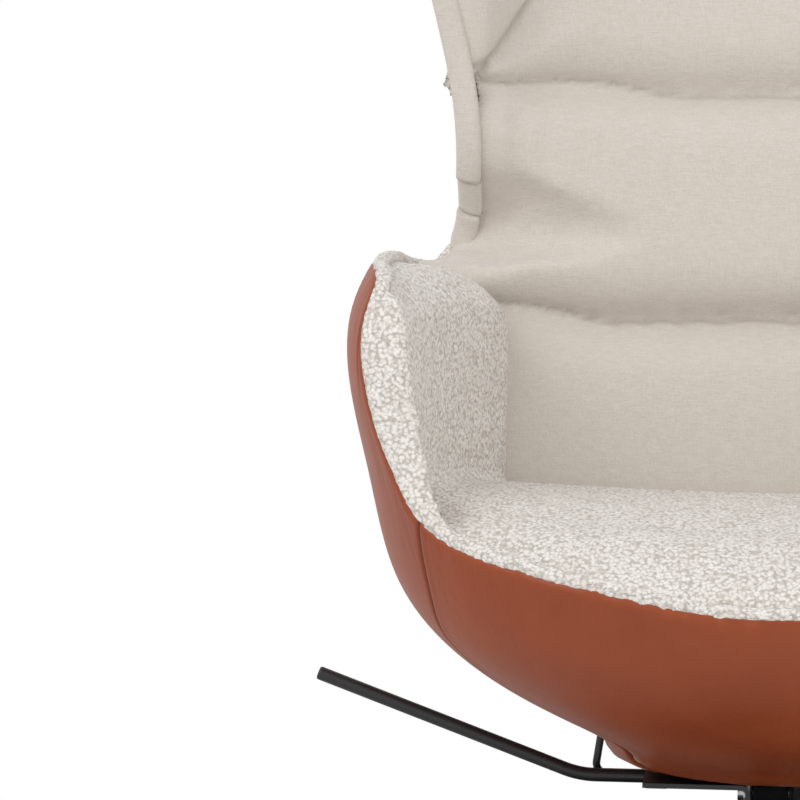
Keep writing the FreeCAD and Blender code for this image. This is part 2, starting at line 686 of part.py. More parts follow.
def rim_points():
    lip, arm = size("lip_height"), size("arm_level")
    front, valley, wing = size("arm_front"), size("valley_back"), size("wing_edge")
    temple, top = size("temple_edge"), size("temple_height")
    crown, fore = size("crown_height"), size("lip_front")
    return [(-480, lip - 8), (-fore, lip + 4), (-fore + 5, lip + 15), (-fore + 21, lip + 30), (-fore + 45, lip + 42),
            (-front - 79, lip + 55), (-front - 62, lip + 72), (-front - 52, lip + 95), (-front - 44, arm - 129),
            (-front - 38, arm - 96), (-front - 32, arm - 64), (-front - 25, arm - 32), (-front - 15, arm - 9),
            (-front + 5, arm + 2), (-front + 40, arm + 6), (0, arm), (valley - 115, arm - 8), (valley - 70, arm - 16),
            (valley - 30, arm - 22), (valley, arm - 24), (valley + 16, arm - 9), (valley + 15, arm + 11),
            (valley, arm + 34), (wing + 17, arm + 61), (wing + 2, arm + 96), (wing - 2, arm + 136),
            (temple + 14, top - 105), (temple + 2, top - 45), (temple, top), (temple + 16, top + 45),
            (temple + 55, crown - 28), (temple + 120, crown - 9), (480, crown - 3)]


def behind_rim(shift=0.0, proud=0.0):
    """The space below and behind the rim, as seen from the side."""
    points = [Vector(-600, y + shift - proud, z - shift + proud) for y, z in rim_points()]
    curve = Part.BSplineCurve()
    curve.interpolate(Points=points)
    first, last = points[0], points[-1]
    low = Vector(-600, last.y, 100)
    edges = [curve.toShape(), Part.LineSegment(last, low).toShape(),
             Part.LineSegment(low, Vector(-600, first.y, 100)).toShape(),
             Part.LineSegment(Vector(-600, first.y, 100), first).toShape()]
    return Part.Face(Part.Wire(edges)).extrude(Vector(1200, 0, 0))


def slab(x0, x1, y0, y1, z0, z1):
    return Part.makeBox(x1 - x0, y1 - y0, z1 - z0, Vector(x0, y0, z0))


def largest(shape):
    """The main solid of a cut, without slivers."""
    return max(shape.Solids, key=lambda s: s.Volume)


def half(side, rear=600):
    """The space on one side of the middle, as far back as a joint."""
    return slab(0, 600, -600, rear, 200, 1300) if side > 0 else slab(-600, 0, -600, rear, 200, 1300)


def pair(name, piece, clearance=None):
    """The sitter's left piece and the one on the right."""
    for node, side in ((name + "_left", 1), (name + "_right", -1)):
        shape = largest(piece(side))
        shaped(node, bored(shape, clearance) if clearance else shape)


def apron_seam_points():
    """Seam between the apron and the side panels, from the side."""
    seam, lip, bilge, turn = size("apron_seam"), size("lip_height"), size("bilge_height"), size("turn_height")
    return [(-seam - 39, lip + 107), (-seam - 17, lip + 57), (-seam, lip), (-seam + 31, lip - 41),
            (-seam + 52, bilge), (-seam + 78, turn + 17), (-seam + 120, turn - 12), (-seam + 142, turn - 68)]


def back_seam_points():
    """Seam between the side panels and the back panel, from the side."""
    seam, lip, bilge, turn = size("back_seam"), size("lip_height"), size("bilge_height"), size("turn_height")
    elbow, crown = size("elbow_height"), size("crown_height")
    return [(seam - 202, turn - 68), (seam - 178, turn - 12), (seam - 122, bilge), (seam - 62, lip),
            (seam - 19, lip + 107), (seam, elbow + 5), (seam, elbow + 125), (seam, elbow + 265), (seam, crown + 8)]


def in_front(seam, shift=0.0):
    """The space in front of a seam line, as seen from the side."""
    points = [Vector(-600, y + shift, z) for y, z in seam]
    curve = Part.BSplineCurve()
    curve.interpolate(Points=points)
    corners = [points[-1], Vector(-600, -520, points[-1].z), Vector(-600, -520, points[0].z), points[0]]
    edges = [curve.toShape()] + [Part.LineSegment(*ends).toShape() for ends in zip(corners, corners[1:])]
    return Part.Face(Part.Wire(edges)).extrude(Vector(1200, 0, 0))


def bored(shape, clearance):
    """Holes for the seat bolts and the lever guide."""
    drills = [Part.makeCylinder(size("bolt_radius") + clearance, 60, Vector(x, y, size("keel_height") - 20))
              for x, y in bolt_spots()]
    top, bend = guide_points()[2], guide_points()[1]
    drills.append(Part.makeCylinder(size("guide_radius") + clearance, 90, bend, top - bend))
    return shape.cut(drills)


def leather(outer, skin_inner, rim):
    """Leather panels: two sides, the back, the apron and the flat underside."""
    gap, keel = size("joint_gap"), size("keel_height") + size("skin")
    shell = outer.common(rim).cut(skin_inner)
    above = shell.common(slab(-600, 600, -600, 600, keel, 1300))
    shaped("leather_apron", largest(above.common(in_front(apron_seam_points(), -gap))))
    rest = above.cut(in_front(apron_seam_points()))
    shaped("leather_back", largest(rest.cut(in_front(back_seam_points(), gap))))
    sides = rest.common(in_front(back_seam_points()))
    pair("leather_side", lambda side: sides.common(half(side)), size("hole_gap"))
    base = outer.common(slab(-600, 600, -600, 600, 200, keel - size("fit")))
    shaped("underside_cover", bored(largest(base), size("hole_gap")))


def frame(frame_outer, frame_inner, rim):
    """Moulded frame under the leather: a bowl, two sides and the back."""
    gap, lip, joint = size("joint_gap"), size("lip_height"), size("back_joint")
    shell = frame_outer.common(rim).cut(frame_inner)
    bowl = largest(shell.common(slab(-600, 600, -600, 600, 200, lip)))
    shaped("shell_bowl", bored(bowl, size("hole_gap") / 2))
    upper = shell.common(slab(-600, 600, -600, 600, lip + gap, 1300))
    shaped("back_frame", largest(upper.common(slab(-600, 600, joint + gap, 600, 200, 1300))))
    pair("side_frame", lambda side: upper.common(half(side, joint)))


# Upholstery

def back_section(z, face, hollow):
    """Closed outline of a back pad at one height; its face is a shallow arc."""
    half = 420.0
    edge = face - hollow * (half / 335.0) ** 2
    left, right = Vector(-half, edge, z), Vector(half, edge, z)
    arc = Part.Arc(left, Vector(0, face, z), right).toShape()
    far_right, far_left = Vector(half, 560, z), Vector(-half, 560, z)
    return Part.Wire([arc, Part.LineSegment(right, far_right).toShape(),
                      Part.LineSegment(far_right, far_left).toShape(), Part.LineSegment(far_left, left).toShape()])


def back_face(z):
    """Unpadded face of the back at a height, on straight runs between the seams."""
    stops = [(size("seat_under"), size("back_foot") - 8), (size("seat_rear_height"), size("back_foot")),
             (size("seam_one"), size("seam_one_back")), (size("seam_two"), size("seam_two_back")),
             (size("crown_height"), size("back_top_back"))]
    for (z0, y0), (z1, y1) in zip(stops, stops[1:]):
        if z <= z1 or z1 == stops[-1][0]:
            return y0 + (y1 - y0) * (z - z0) / (z1 - z0)


def hollow(z):
    """Depth of the back's curve at the wings, which grows above the arms."""
    climb = (z - size("seam_one")) / (size("seam_two") - size("seam_one"))
    return size("back_hollow") * (1 + 0.2 * min(max(climb, 0), 1))


def channel(low, high, ease=0.0):
    """One padded channel, drawn in at its two seams."""
    wires = []
    for step in (0, 1, 2, 3, 4, 5, 6):
        share = step / 6
        z = low + (high - low) * share
        swell = size("channel_crown") * (1 - (2 * share - 1) ** 4)
        wires.append(back_section(z, back_face(z) + 6 - swell - ease, hollow(z)))
    return Part.makeLoft(wires, True, False)


def wing_seam_stops():
    """The slanting seam beside the head pad: height, distance from the middle."""
    two, foot, middle = size("seam_two"), size("wing_seam"), size("wing_seam_middle")
    rise, top = size("wing_seam_rise"), size("crown_height")
    return [(two - 40, foot + 26), (two, foot), (two + rise, middle), (top, size("wing_seam_top")),
            (top + 60, size("wing_seam_top") - 24)]


def wing_seam_at(z):
    stops = wing_seam_stops()
    for (z0, x0), (z1, x1) in zip(stops, stops[1:]):
        if z <= z1 or z1 == stops[-1][0]:
            return x0 + (x1 - x0) * (z - z0) / (z1 - z0)


def between_wings(shift):
    """The space between the two slanting seams, each moved out from the middle."""
    stops = wing_seam_stops()
    points = [Vector(x + shift, -600, z) for z, x in stops] + [Vector(-x - shift, -600, z) for z, x in reversed(stops)]
    return Part.Face(Part.makePolygon(points + points[:1])).extrude(Vector(0, 1300, 0))


def wing_loft(side, low, high):
    """Wing pad: from behind the slanting seam beside the head pad forward to the rim."""
    wires = []
    for step in range(5):
        share = step / 4
        z = low + (high - low) * share
        x = wing_seam_at(z) - size("pad_proud")
        swell = size("channel_crown") * (1 - (2 * share - 1) ** 4)
        y = back_face(z) + 6 - swell - hollow(z) * (x / 335.0) ** 2
        outer = size("temple_edge") - 24 + 26 * abs(2 * share - 1.1)
        start, end = Vector(side * x, y, z), Vector(side * 430, outer - 75, z)
        middle = Vector(side * (x + 365) / 2, (y + outer) / 2 - 3, z)
        far = [Vector(side * 430, 560, z), Vector(side * x, 560, z)]
        wires.append(Part.Wire([Part.Arc(start, middle, end).toShape(), Part.LineSegment(end, far[0]).toShape(),
                                Part.LineSegment(*far).toShape(), Part.LineSegment(far[1], start).toShape()]))
    return Part.makeLoft(wires, True, False)


def seat_loft():
    """Seat cushion between the arms: rounded nose, crest and fall to the back."""
    lip, crest, rear = size("lip_height"), size("seat_crest"), size("seat_rear_height")
    low, front, back = size("seat_under"), size("lip_front"), size("back_foot")
    crest_y = size("seat_crest_back")
    wires = []
    for x in (-420, -250, 0, 250, 420):
        lift = size("seat_dish") * (x / 300.0) ** 2
        nose = Vector(x, -front - 20, lip + 2)
        top = Vector(x, crest_y, crest + lift)
        end = Vector(x, back + 40, rear - 4)
        rise = Part.Arc(nose, Vector(x, (crest_y - front) / 2 - 26, lip + (crest + lift - lip) * 0.80), top).toShape()
        fall = Part.Arc(top, Vector(x, (crest_y + back) / 2, (crest + lift + rear) / 2 + 7), end).toShape()
        under = [Vector(x, back + 40, low), Vector(x, -front - 20, low)]
        wires.append(Part.Wire([rise, fall, Part.LineSegment(end, under[0]).toShape(),
                                Part.LineSegment(*under).toShape(), Part.LineSegment(under[1], nose).toShape()]))
    return Part.makeLoft(wires, True, False)


def arm_loft(side):
    """Arm pad: crowned top, inner face that opens towards the front."""
    front, rear, crown = size("arm_inner_front"), size("arm_inner_rear"), size("arm_crown")
    stations = [(-345, front - 140, crown), (-292, front - 82, crown), (-228, front - 29, crown),
                (-150, front - 20, crown), (-60, front - 34, crown - 4), (40, rear + 14, crown - 16),
                (130, rear + 4, crown - 28), (230, rear, crown - 34)]
    wires = []
    for y, inner, top in stations:
        low = size("seat_under")
        a, b = Vector(side * 430, y, top - 40), Vector(side * inner, y, top - 38)
        mid = Vector(side * (inner + 42), y, top)
        c, d = Vector(side * (inner - 6), y, low), Vector(side * 430, y, low)
        wires.append(Part.Wire([Part.Arc(a, mid, b).toShape(), Part.LineSegment(b, c).toShape(),
                                Part.LineSegment(c, d).toShape(), Part.LineSegment(d, a).toShape()]))
    return Part.makeLoft(wires, True, False)


def upholstery():
    gap, under = size("soft_gap"), size("seat_under")
    room = hull(size("skin") + gap).common(behind_rim(0, size("pad_proud")))
    wall = size("skin") + size("skin_gap") + size("frame_wall")
    frame_space = hull(size("skin")).common(behind_rim(size("frame_drop") - 2 * gap)).cut(hull(wall + 2 * gap))
    room = room.cut(frame_space)
    one, two, top = size("seam_one"), size("seam_two"), size("crown_height") + 12
    shaped("lumbar_pad", largest(channel(under, one - gap).common(room)))
    shaped("middle_pad", largest(channel(one + gap, two - gap).common(room)))
    shaped("head_pad", largest(channel(two + gap, top).common(room).common(between_wings(-gap))))
    behind_head = between_wings(gap)
    pair("wing_pad", lambda side: wing_loft(side, two + gap, top).common(room).cut(behind_head))
    seam = Part.makeLoft([back_section(z, back_face(z) + 6 - gap, hollow(z)) for z in (one - gap, one + gap)], True)
    back = channel(under - gap, one - gap, gap).fuse([channel(one + gap, two - gap, gap), seam])
    pair("arm_pad", lambda side: arm_loft(side).common(room).cut(back))
    grown = [arm_loft(side).translated(Vector(-side * gap, 0, 0)) for side in (1, -1)]
    shaped("seat_cushion", largest(seat_loft().common(room).cut(back).cut(grown)))
    top_of_web = under - gap
    web = hull(wall + gap).common(slab(-600, 600, -600, 600, top_of_web - size("webbing_thick"), top_of_web))
    shaped("seat_webbing", largest(web))


def shell():
    skin, under = size("skin"), size("skin") + size("skin_gap")
    leather(hull(0), hull(skin), behind_rim())
    frame(hull(under), hull(under + size("frame_wall")), behind_rim(size("frame_drop")))


floor_pad()
base_plate()
column()
swivel()
rocking_unit()
seat_pan()
seat_bolts()
rubber_stops()
lever()
lever_bearing()
brake()
shell()
upholstery()
doc.recompute()

faults = ["failed object: %s" % obj.Label for obj in doc.Objects
          if "Invalid" in obj.State or "Error" in obj.State]
faults += ["bad shape: %s" % node for node, obj in PARTS.items()
           if obj.Shape.isNull() or not obj.Shape.isValid()]
if faults:
    raise RuntimeError("; ".join(faults))

os.makedirs("parts", exist_ok=True)
for node, obj in PARTS.items():
    obj.Shape.exportStep(os.path.join("parts", node + ".step"))
    box = obj.Shape.BoundBox
    print("%-20s solids %2d  volume %9.1f cm3  z %.1f..%.1f" % (
        node, len(obj.Shape.Solids), obj.Shape.Volume / 1000, box.ZMin, box.ZMax))
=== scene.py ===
"""Swivel rocker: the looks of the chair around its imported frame.

Metres, +Z up. The chair faces -Y, and the sitter's left is +X. Figures in
millimetres are turned into metres by MM. Leather panels are surfaces worked out
from the shell's sections, and the upholstery swells from the frame's soft solids.
"""
import math

import bmesh
import bpy
import numpy as np
from bpy.props import FloatProperty, FloatVectorProperty, IntProperty, PointerProperty
from bpy.types import Operator, Panel, PropertyGroup
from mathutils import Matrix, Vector


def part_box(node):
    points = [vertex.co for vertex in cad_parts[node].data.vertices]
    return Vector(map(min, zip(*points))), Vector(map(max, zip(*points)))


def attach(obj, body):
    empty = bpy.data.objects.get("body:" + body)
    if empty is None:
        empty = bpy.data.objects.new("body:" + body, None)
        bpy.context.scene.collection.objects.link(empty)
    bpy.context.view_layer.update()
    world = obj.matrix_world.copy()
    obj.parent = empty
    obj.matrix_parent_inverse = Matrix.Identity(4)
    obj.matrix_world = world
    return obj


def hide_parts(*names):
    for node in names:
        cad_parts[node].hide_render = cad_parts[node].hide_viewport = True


bl_info = {
    "name": "Swivel Rocker",
    "version": (1, 0, 0),
    "blender": (4, 5, 0),
    "location": "View3D > Sidebar > Rocker",
    "description": "Leather shell, boucle seat and padded back of a swivel rocker",
    "category": "Add Mesh",
}

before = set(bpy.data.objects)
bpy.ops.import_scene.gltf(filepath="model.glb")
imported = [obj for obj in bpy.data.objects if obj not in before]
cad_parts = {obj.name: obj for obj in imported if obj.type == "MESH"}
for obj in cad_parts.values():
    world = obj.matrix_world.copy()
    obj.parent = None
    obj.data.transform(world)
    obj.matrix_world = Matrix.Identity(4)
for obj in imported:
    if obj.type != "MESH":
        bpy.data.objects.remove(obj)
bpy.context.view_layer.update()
MM = 0.001

# Sections of the shell in millimetres, from the underside to the crown:
# height, half width, front, rear, how far back it is widest, squareness
SHELL_LEVELS = np.array([
    (238, 128, 112, 118, 0, 3.4),
    (247, 176, 138, 144, -6, 3.2),
    (257, 190, 158, 170, -13, 3.0),
    (268, 194, 186, 195, -20, 2.8),
    (322, 278, 286, 275, -40, 2.6),
    (413, 362, 337, 326, -55, 2.8),
    (500, 384, 347, 345, -60, 2.9),
    (635, 397, 352, 364, -60, 2.9),
    (690, 370, 338, 375, -35, 2.8),
    (750, 348, 320, 386, 10, 2.7),
    (900, 368, 310, 408, 20, 2.6),
    (1030, 352, 310, 426, 25, 3.0),
    (1092, 265, 310, 438, 40, 3.15),
])
UNDERSIDE, CROWN = SHELL_LEVELS[0, 0], SHELL_LEVELS[-1, 0]
# The rim and the leather seams, seen from the side: back from the column, height
RIM = np.array([
    (-480, 405), (-337, 417), (-332, 428), (-316, 443), (-292, 455), (-269, 468), (-252, 485), (-242, 508),
    (-234, 535), (-228, 568), (-222, 600), (-215, 632), (-205, 655), (-185, 666), (-150, 670), (0, 664),
    (75, 656), (120, 648), (160, 642), (190, 640), (206, 655), (205, 675),
    (190, 698), (165, 725), (150, 760), (146, 800), (134, 880), (122, 940), (120, 985), (136, 1030),
    (175, 1064), (240, 1083), (480, 1089),
])
APRON_SEAM = np.array([(-277, 520), (-255, 470), (-238, 413), (-207, 372), (-186, 322), (-160, 285),
                       (-118, 256), (-96, 200)])
BACK_SEAM = np.array([(60, 200), (84, 256), (140, 322), (200, 413), (243, 520), (262, 640), (262, 760),
                      (262, 900), (262, 1100)])
# The rim's rearmost point, where the arm turns up into the wing
VALLEY = (208, 665)
# Seams of the back: height in the middle, rise towards the wings, and where it rises
BACK_SEAMS = ((592, 18, 190, 110), (793, 13, 130, 110))
# The slanting seam between the head pad and each wing: height, distance from the middle
WING_SEAM = np.array([(790, 334), (809, 322), (827, 302), (853, 286), (879, 271), (950, 240), (1020, 210),
                      (1110, 172)])
# Half the way round a mean section, as a share of its half width and depth together
HALF_ROUND = 1.72
# Steps beside a panel's edges, points in a seam's line, and columns of the panels, in millimetres
EDGE_STEPS = (0, 1, 2.2, 3.8, 6, 9)
SEAM_POINTS = 500
PANEL_WIDTH, ARM_DEPTH = 760, 700
# Rolled edge, in millimetres: spacing of its sections, length of its tapered ends, gap to
# the leather, and how far it stands out; then the power that squares its section
ROLL_STEP, ROLL_TAPER, ROLL_GAP, ROLL_LIFT, ROLL_POWER = 3.6, 16, 0.5, 1.5, 0.83
# Seat between the arms, in millimetres: depth of its dip, and what the dip loses 300 aside
SEAT_DIP, SEAT_DIP_LOSS = 13, 5


# Curves and the shell's surface

def spline(knots, values, places):
    """Natural cubic spline through the rows of values at the knots, read at the places.

    The second slopes at the knots solve one banded system, in which neighbouring
    spans have the same slope, and each span is the cubic that has them at its ends.
    """
    gaps, last = np.diff(knots), len(knots) - 2
    system, pull = np.eye(len(knots)), np.zeros(values.shape)
    inner = np.arange(1, len(knots) - 1)
    system[inner, inner - 1], system[inner, inner + 1] = gaps[:-1], gaps[1:]
    system[inner, inner] = 2 * (gaps[:-1] + gaps[1:])
    pull[inner] = 6 * np.diff(np.diff(values, axis=0) / gaps[:, None], axis=0)
    bend = np.linalg.solve(system, pull)
    k = np.clip(np.searchsorted(knots, places) - 1, 0, last)
    to, span = ((places - knots[k]) / gaps[k])[:, None], gaps[k][:, None]
    back = 1 - to
    straight = back * values[k] + to * values[k + 1]
    return straight + ((back ** 3 - back) * bend[k] + (to ** 3 - to) * bend[k + 1]) * span ** 2 / 6


def smooth_line(points, count=900):
    """Smooth curve through points, as that many points spaced by chord length."""
    chord = np.concatenate([[0], np.cumsum(np.linalg.norm(np.diff(points, axis=0), axis=1))])
    return spline(chord, points.astype(float), np.linspace(0, chord[-1], count))


LEVEL_LINE = smooth_line(SHELL_LEVELS * np.array([1, 1, 1, 1, 1, 100])) / np.array([1, 1, 1, 1, 1, 100])


def levels_at(height):
    """Half width, front, rear, widest place and squareness at each height."""
    return [np.interp(height, LEVEL_LINE[:, 0], LEVEL_LINE[:, k]) for k in range(1, 6)]


def quarter_lengths(power=2 / 2.75):
    """Angle against length along a quarter of a mean rounded-square section."""
    angle = (1 - np.cos(np.linspace(0, math.pi, 3001))) * math.pi / 4
    run = np.hypot(np.diff(np.sin(angle) ** power), np.diff(np.cos(angle).clip(0) ** power))
    length = np.concatenate([[0], np.cumsum(run)])
    return angle, length / length[-1]


QUARTER_ANGLE, QUARTER_LENGTH = quarter_lengths()


def angle_of(share):
    """Angle of a place round a level: share 0 is the front, 1 the rear, by length."""
    share = np.abs(share)
    folded = np.where(share > 0.5, 1 - share, share) * 2
    angle = np.interp(folded, QUARTER_LENGTH, QUARTER_ANGLE)
    return np.where(share > 0.5, math.pi - angle, angle)


def share_of(back, height):
    """Share round the left half at which the section is that far back."""
    wide, front, rear, middle, square = levels_at(height)
    reach = np.where(back < middle, front + middle, rear - middle)
    part = np.clip(np.abs(back - middle) / reach, 0, 1) ** (square / 2)
    angle = np.arccos(np.clip(part, 0, 1))
    half = np.interp(angle, QUARTER_ANGLE, QUARTER_LENGTH) / 2
    return np.where(back < middle, half, 1 - half)


def shell_point(share, height):
    """Points of the shell: a rounded square at each height, in millimetres.

    Across: half width times sine to the power two over squareness, with its sign.
    Back: widest place less the reach times cosine to that power, with its sign.
    The share runs from 0 at the front to 1 at the rear, and below 0 on the right.
    """
    share = (share + 1) % 2 - 1
    height = np.clip(height, UNDERSIDE, CROWN)
    wide, front, rear, middle, square = levels_at(height)
    angle = angle_of(share)
    c, s = np.cos(angle), np.sin(angle).clip(0)
    reach = np.where(c > 0, front + middle, rear - middle)
    across = wide * np.sign(share) * s ** (2 / square)
    back = middle - reach * np.sign(c) * np.abs(c) ** (2 / square)
    return np.stack([across, back, height * np.ones_like(across)], axis=-1)


def shell_normal(share, height):
    """Outward direction, from the surface's two slopes by central differences."""
    round_it = shell_point(share + 0.004, height) - shell_point(share - 0.004, height)
    up = shell_point(share, height + 2) - shell_point(share, height - 2)
    normal = np.cross(round_it, up)
    return normal / np.linalg.norm(normal, axis=-1, keepdims=True).clip(1e-9)


def shell_place(share, height, inset):
    """Points a distance inside the shell, along its normals."""
    return shell_point(share, height) - shell_normal(share, height) * np.asarray(inset)[..., None]


def half_round(height):
    """Length of half a level, front to rear, in millimetres."""
    wide, front, rear, _, _ = levels_at(height)
    return HALF_ROUND * (wide + (front + rear) / 2)


RIM_LINE = smooth_line(RIM)
SEAM_LINE = smooth_line(APRON_SEAM)[::-1]
REAR_LINE = smooth_line(BACK_SEAM)


def on_shell(line):
    """Share and height of a side-view line, where it lies on the shell."""
    _, front, rear, _, _ = levels_at(line[:, 1])
    kept = line[(line[:, 0] > -front) & (line[:, 0] < rear)]
    return share_of(kept[:, 0], kept[:, 1]), kept[:, 1]


def seam_share(line, height):
    """Share of an upright seam at each height."""
    return share_of(np.interp(height, line[:, 1], line[:, 0]), height)


def crossing(first, second):
    """First place at which the sign of first less second changes."""
    return int(np.nonzero(np.diff(np.sign(first - second)))[0][0])


# Meshes

def build_mesh(name, points, faces, smooth=True):
    """Object with a mesh of these points, in metres, and faces."""
    mesh = bpy.data.meshes.new(name)
    faces = faces.tolist() if isinstance(faces, np.ndarray) else faces
    mesh.from_pydata(points.reshape(-1, 3).tolist(), [], faces)
    mesh.update()
    if smooth:
        mesh.shade_smooth()
    piece = bpy.data.objects.new(name, mesh)
    bpy.context.scene.collection.objects.link(piece)
    return piece


def grid_faces(index):
    """Four-sided faces between neighbouring rows and columns of a grid of indices."""
    corners = (index[:-1, :-1], index[:-1, 1:], index[1:, 1:], index[1:, :-1])
    return np.stack(corners, axis=-1).reshape(-1, 4)


def coordinates(mesh):
    co = np.empty(len(mesh.vertices) * 3, np.float32)
    mesh.vertices.foreach_get("co", co)
    return co.reshape(-1, 3).astype(float)


def point_normals(mesh):
    normal = np.empty(len(mesh.vertices) * 3, np.float32)
    mesh.vertices.foreach_get("normal", normal)
    return normal.reshape(-1, 3)


def move_points(mesh, co):
    mesh.vertices.foreach_set("co", co.astype(np.float32).ravel())
    mesh.update()


def mark(mesh, name, values):
    """Stores a number at each point, for the materials to read."""
    data = mesh.attributes.new(name, "FLOAT", "POINT").data
    data.foreach_set("value", values.astype(np.float32).ravel())


def stations(length, count, near):
    """Shares of a line's length: the near distances at both ends, even steps between."""
    near, length = np.asarray(near, float), np.asarray(length, float)[..., None]
    scale = np.minimum(1, length / (3 * near[-1]))
    low = near * scale
    middle = low[..., -1:] + (length - 2 * low[..., -1:]) * np.linspace(0, 1, count)[1:-1]
    return np.concatenate([low, middle, length - low[..., ::-1]], axis=-1) / length


def nearest(places, line):
    """Distance of each place to the nearest point of a line, in chunks of places."""
    far = [np.sqrt(((chunk[:, None] - line[None]) ** 2).sum(-1).min(1))
           for chunk in np.array_split(places.astype(np.float32), max(1, len(places) // 3000))]
    return np.concatenate(far)


def unrolled(share, height):
    """Places on the shell laid flat, in millimetres, to measure along its surface."""
    return np.stack([share * half_round(height), height * np.ones_like(share)], axis=-1)


# Materials

def new_material(name, colour, roughness):
    material = bpy.data.materials.new(name)
    material.use_nodes = True
    shader = material.node_tree.nodes["Principled BSDF"]
    shader.inputs["Base Color"].default_value = (*colour, 1)
    shader.inputs["Roughness"].default_value = roughness
    return material, material.node_tree, shader


def add_node(tree, kind, inputs=None, **settings):
    """Adds a shader node. Each input is a value, or a socket to link from."""
    node = tree.nodes.new(kind)
    for key, value in settings.items():
        setattr(node, key, value)
    for key, value in (inputs or {}).items():
        if isinstance(value, bpy.types.NodeSocket):
            tree.links.new(value, node.inputs[key])
        else:
            node.inputs[key].default_value = value
    return node


def place_of(tree):
    return add_node(tree, "ShaderNodeTexCoord").outputs["Object"]


def stretched(tree, vector, scale):
    return add_node(tree, "ShaderNodeMapping", {"Vector": vector, "Scale": scale}).outputs["Vector"]


def noise(tree, vector, scale, detail=3.0, rough=0.55):
    inputs = {"Vector": vector, "Scale": scale, "Detail": detail, "Roughness": rough}
    return add_node(tree, "ShaderNodeTexNoise", inputs).outputs["Fac"]


def cells(tree, vector, scale, randomness=1.0, feature="F1"):
    inputs = {"Vector": vector, "Scale": scale, "Randomness": randomness}
    if feature == "SMOOTH_F1":
        inputs["Smoothness"] = 0.35
    return add_node(tree, "ShaderNodeTexVoronoi", inputs, feature=feature).outputs["Distance"]


def remap(tree, value, low, high, to_low=0.0, to_high=1.0):
    inputs = {"Value": value, "From Min": low, "From Max": high, "To Min": to_low, "To Max": to_high}
    return add_node(tree, "ShaderNodeMapRange", inputs).outputs["Result"]


def maths(tree, operation, first, second):
    return add_node(tree, "ShaderNodeMath", {0: first, 1: second}, operation=operation).outputs["Value"]


def blend_colours(tree, factor, first, second):
    node = add_node(tree, "ShaderNodeMix", {"Factor": factor}, data_type="RGBA")
    for socket, value in ((node.inputs[6], first), (node.inputs[7], second)):
        if isinstance(value, bpy.types.NodeSocket):
            tree.links.new(value, socket)
        else:
            socket.default_value = (*value, 1)
    return node.outputs[2]


def bumped(tree, height, strength, distance, normal=None):
    inputs = {"Height": height, "Strength": strength, "Distance": distance}
    if normal is not None:
        inputs["Normal"] = normal
    return add_node(tree, "ShaderNodeBump", inputs).outputs["Normal"]


def attribute(tree, name):
    return add_node(tree, "ShaderNodeAttribute", attribute_name=name).outputs["Fac"]


def leather_material(colours, fabric):
    """Cognac leather: pebble grain, soft mottling, and creases that run down from the rim."""
    material, tree, shader = new_material("cognac_leather", colours.leather, 0.46)
    shader.inputs["Specular IOR Level"].default_value = 0.32
    place = place_of(tree)
    mottle = noise(tree, place, 9.0, 4.0)
    tone = blend_colours(tree, remap(tree, mottle, 0.35, 0.65), colours.leather_deep, colours.leather)
    pores = cells(tree, place, 1 / fabric.leather_grain, feature="SMOOTH_F1")
    # Painted highlight: the leather is lightened along the rounded rim and its turned-in edge, where light
    # catches it.
    rim_highlight = blend_colours(tree, remap(tree, attribute(tree, "edge"), 0.0, 1.0, 0.0, 0.45), tone,
                         colours.leather_rim_highlight)
    # Painted shade: the leather is darkened in its seams, where shade falls.
    sewn = blend_colours(tree, attribute(tree, "crease"), rim_highlight, colours.leather_seam_shade)
    tree.links.new(sewn, shader.inputs["Base Color"])
    tree.links.new(remap(tree, mottle, 0.3, 0.7, 0.42, 0.52), shader.inputs["Roughness"])
    grain = bumped(tree, pores, 0.34, 0.0004)
    coarse = bumped(tree, noise(tree, place, 160.0, 3.0), 0.25, 0.0006, grain)
    pulled = noise(tree, stretched(tree, place, (34.0, 34.0, 4.5)), 1.0, 3.0, 0.6)
    lines = maths(tree, "MULTIPLY", pulled, attribute(tree, "pull"))
    creased = bumped(tree, lines, 0.75, 0.006, coarse)
    tree.links.new(creased, shader.inputs["Normal"])
    return material


def boucle_material(colours, fabric):
    """Cream boucle: tight knots of looped yarn with dark gaps."""
    material, tree, shader = new_material("cream_boucle", colours.boucle, 0.95)
    shader.inputs["Sheen Weight"].default_value = 0.25
    shader.inputs["Sheen Roughness"].default_value = 0.6
    place = place_of(tree)
    drift = add_node(tree, "ShaderNodeTexNoise", {"Vector": place, "Scale": 150.0, "Detail": 2.0})
    shifted = add_node(tree, "ShaderNodeVectorMath", {0: drift.outputs["Color"]}, operation="SCALE")
    shifted.inputs["Scale"].default_value = 0.0035
    moved = {0: place, 1: shifted.outputs["Vector"]}
    wandering = add_node(tree, "ShaderNodeVectorMath", moved, operation="ADD").outputs["Vector"]
    knots = cells(tree, wandering, 1 / fabric.knot, 0.9)
    loops = cells(tree, wandering, 2.3 / fabric.knot, 1.0)
    both = maths(tree, "ADD", knots, maths(tree, "MULTIPLY", loops, 0.35))
    shade = noise(tree, place, 60.0, 3.0)
    bright = blend_colours(tree, remap(tree, shade, 0.35, 0.65), colours.boucle, colours.boucle_light)
    # Painted shade: the yarn is darkened in the gaps between the knots.
    tone = blend_colours(tree, remap(tree, both, 0.52, 0.95), bright, colours.boucle_gap_shade)
    tree.links.new(tone, shader.inputs["Base Color"])
    ball = maths(tree, "SUBTRACT", 1.0, maths(tree, "MULTIPLY", both, both))
    height = maths(tree, "ADD", ball, maths(tree, "MULTIPLY", noise(tree, place, 1400.0, 2.0), 0.18))
    tree.links.new(bumped(tree, height, 0.8, 0.0016), shader.inputs["Normal"])
    return material


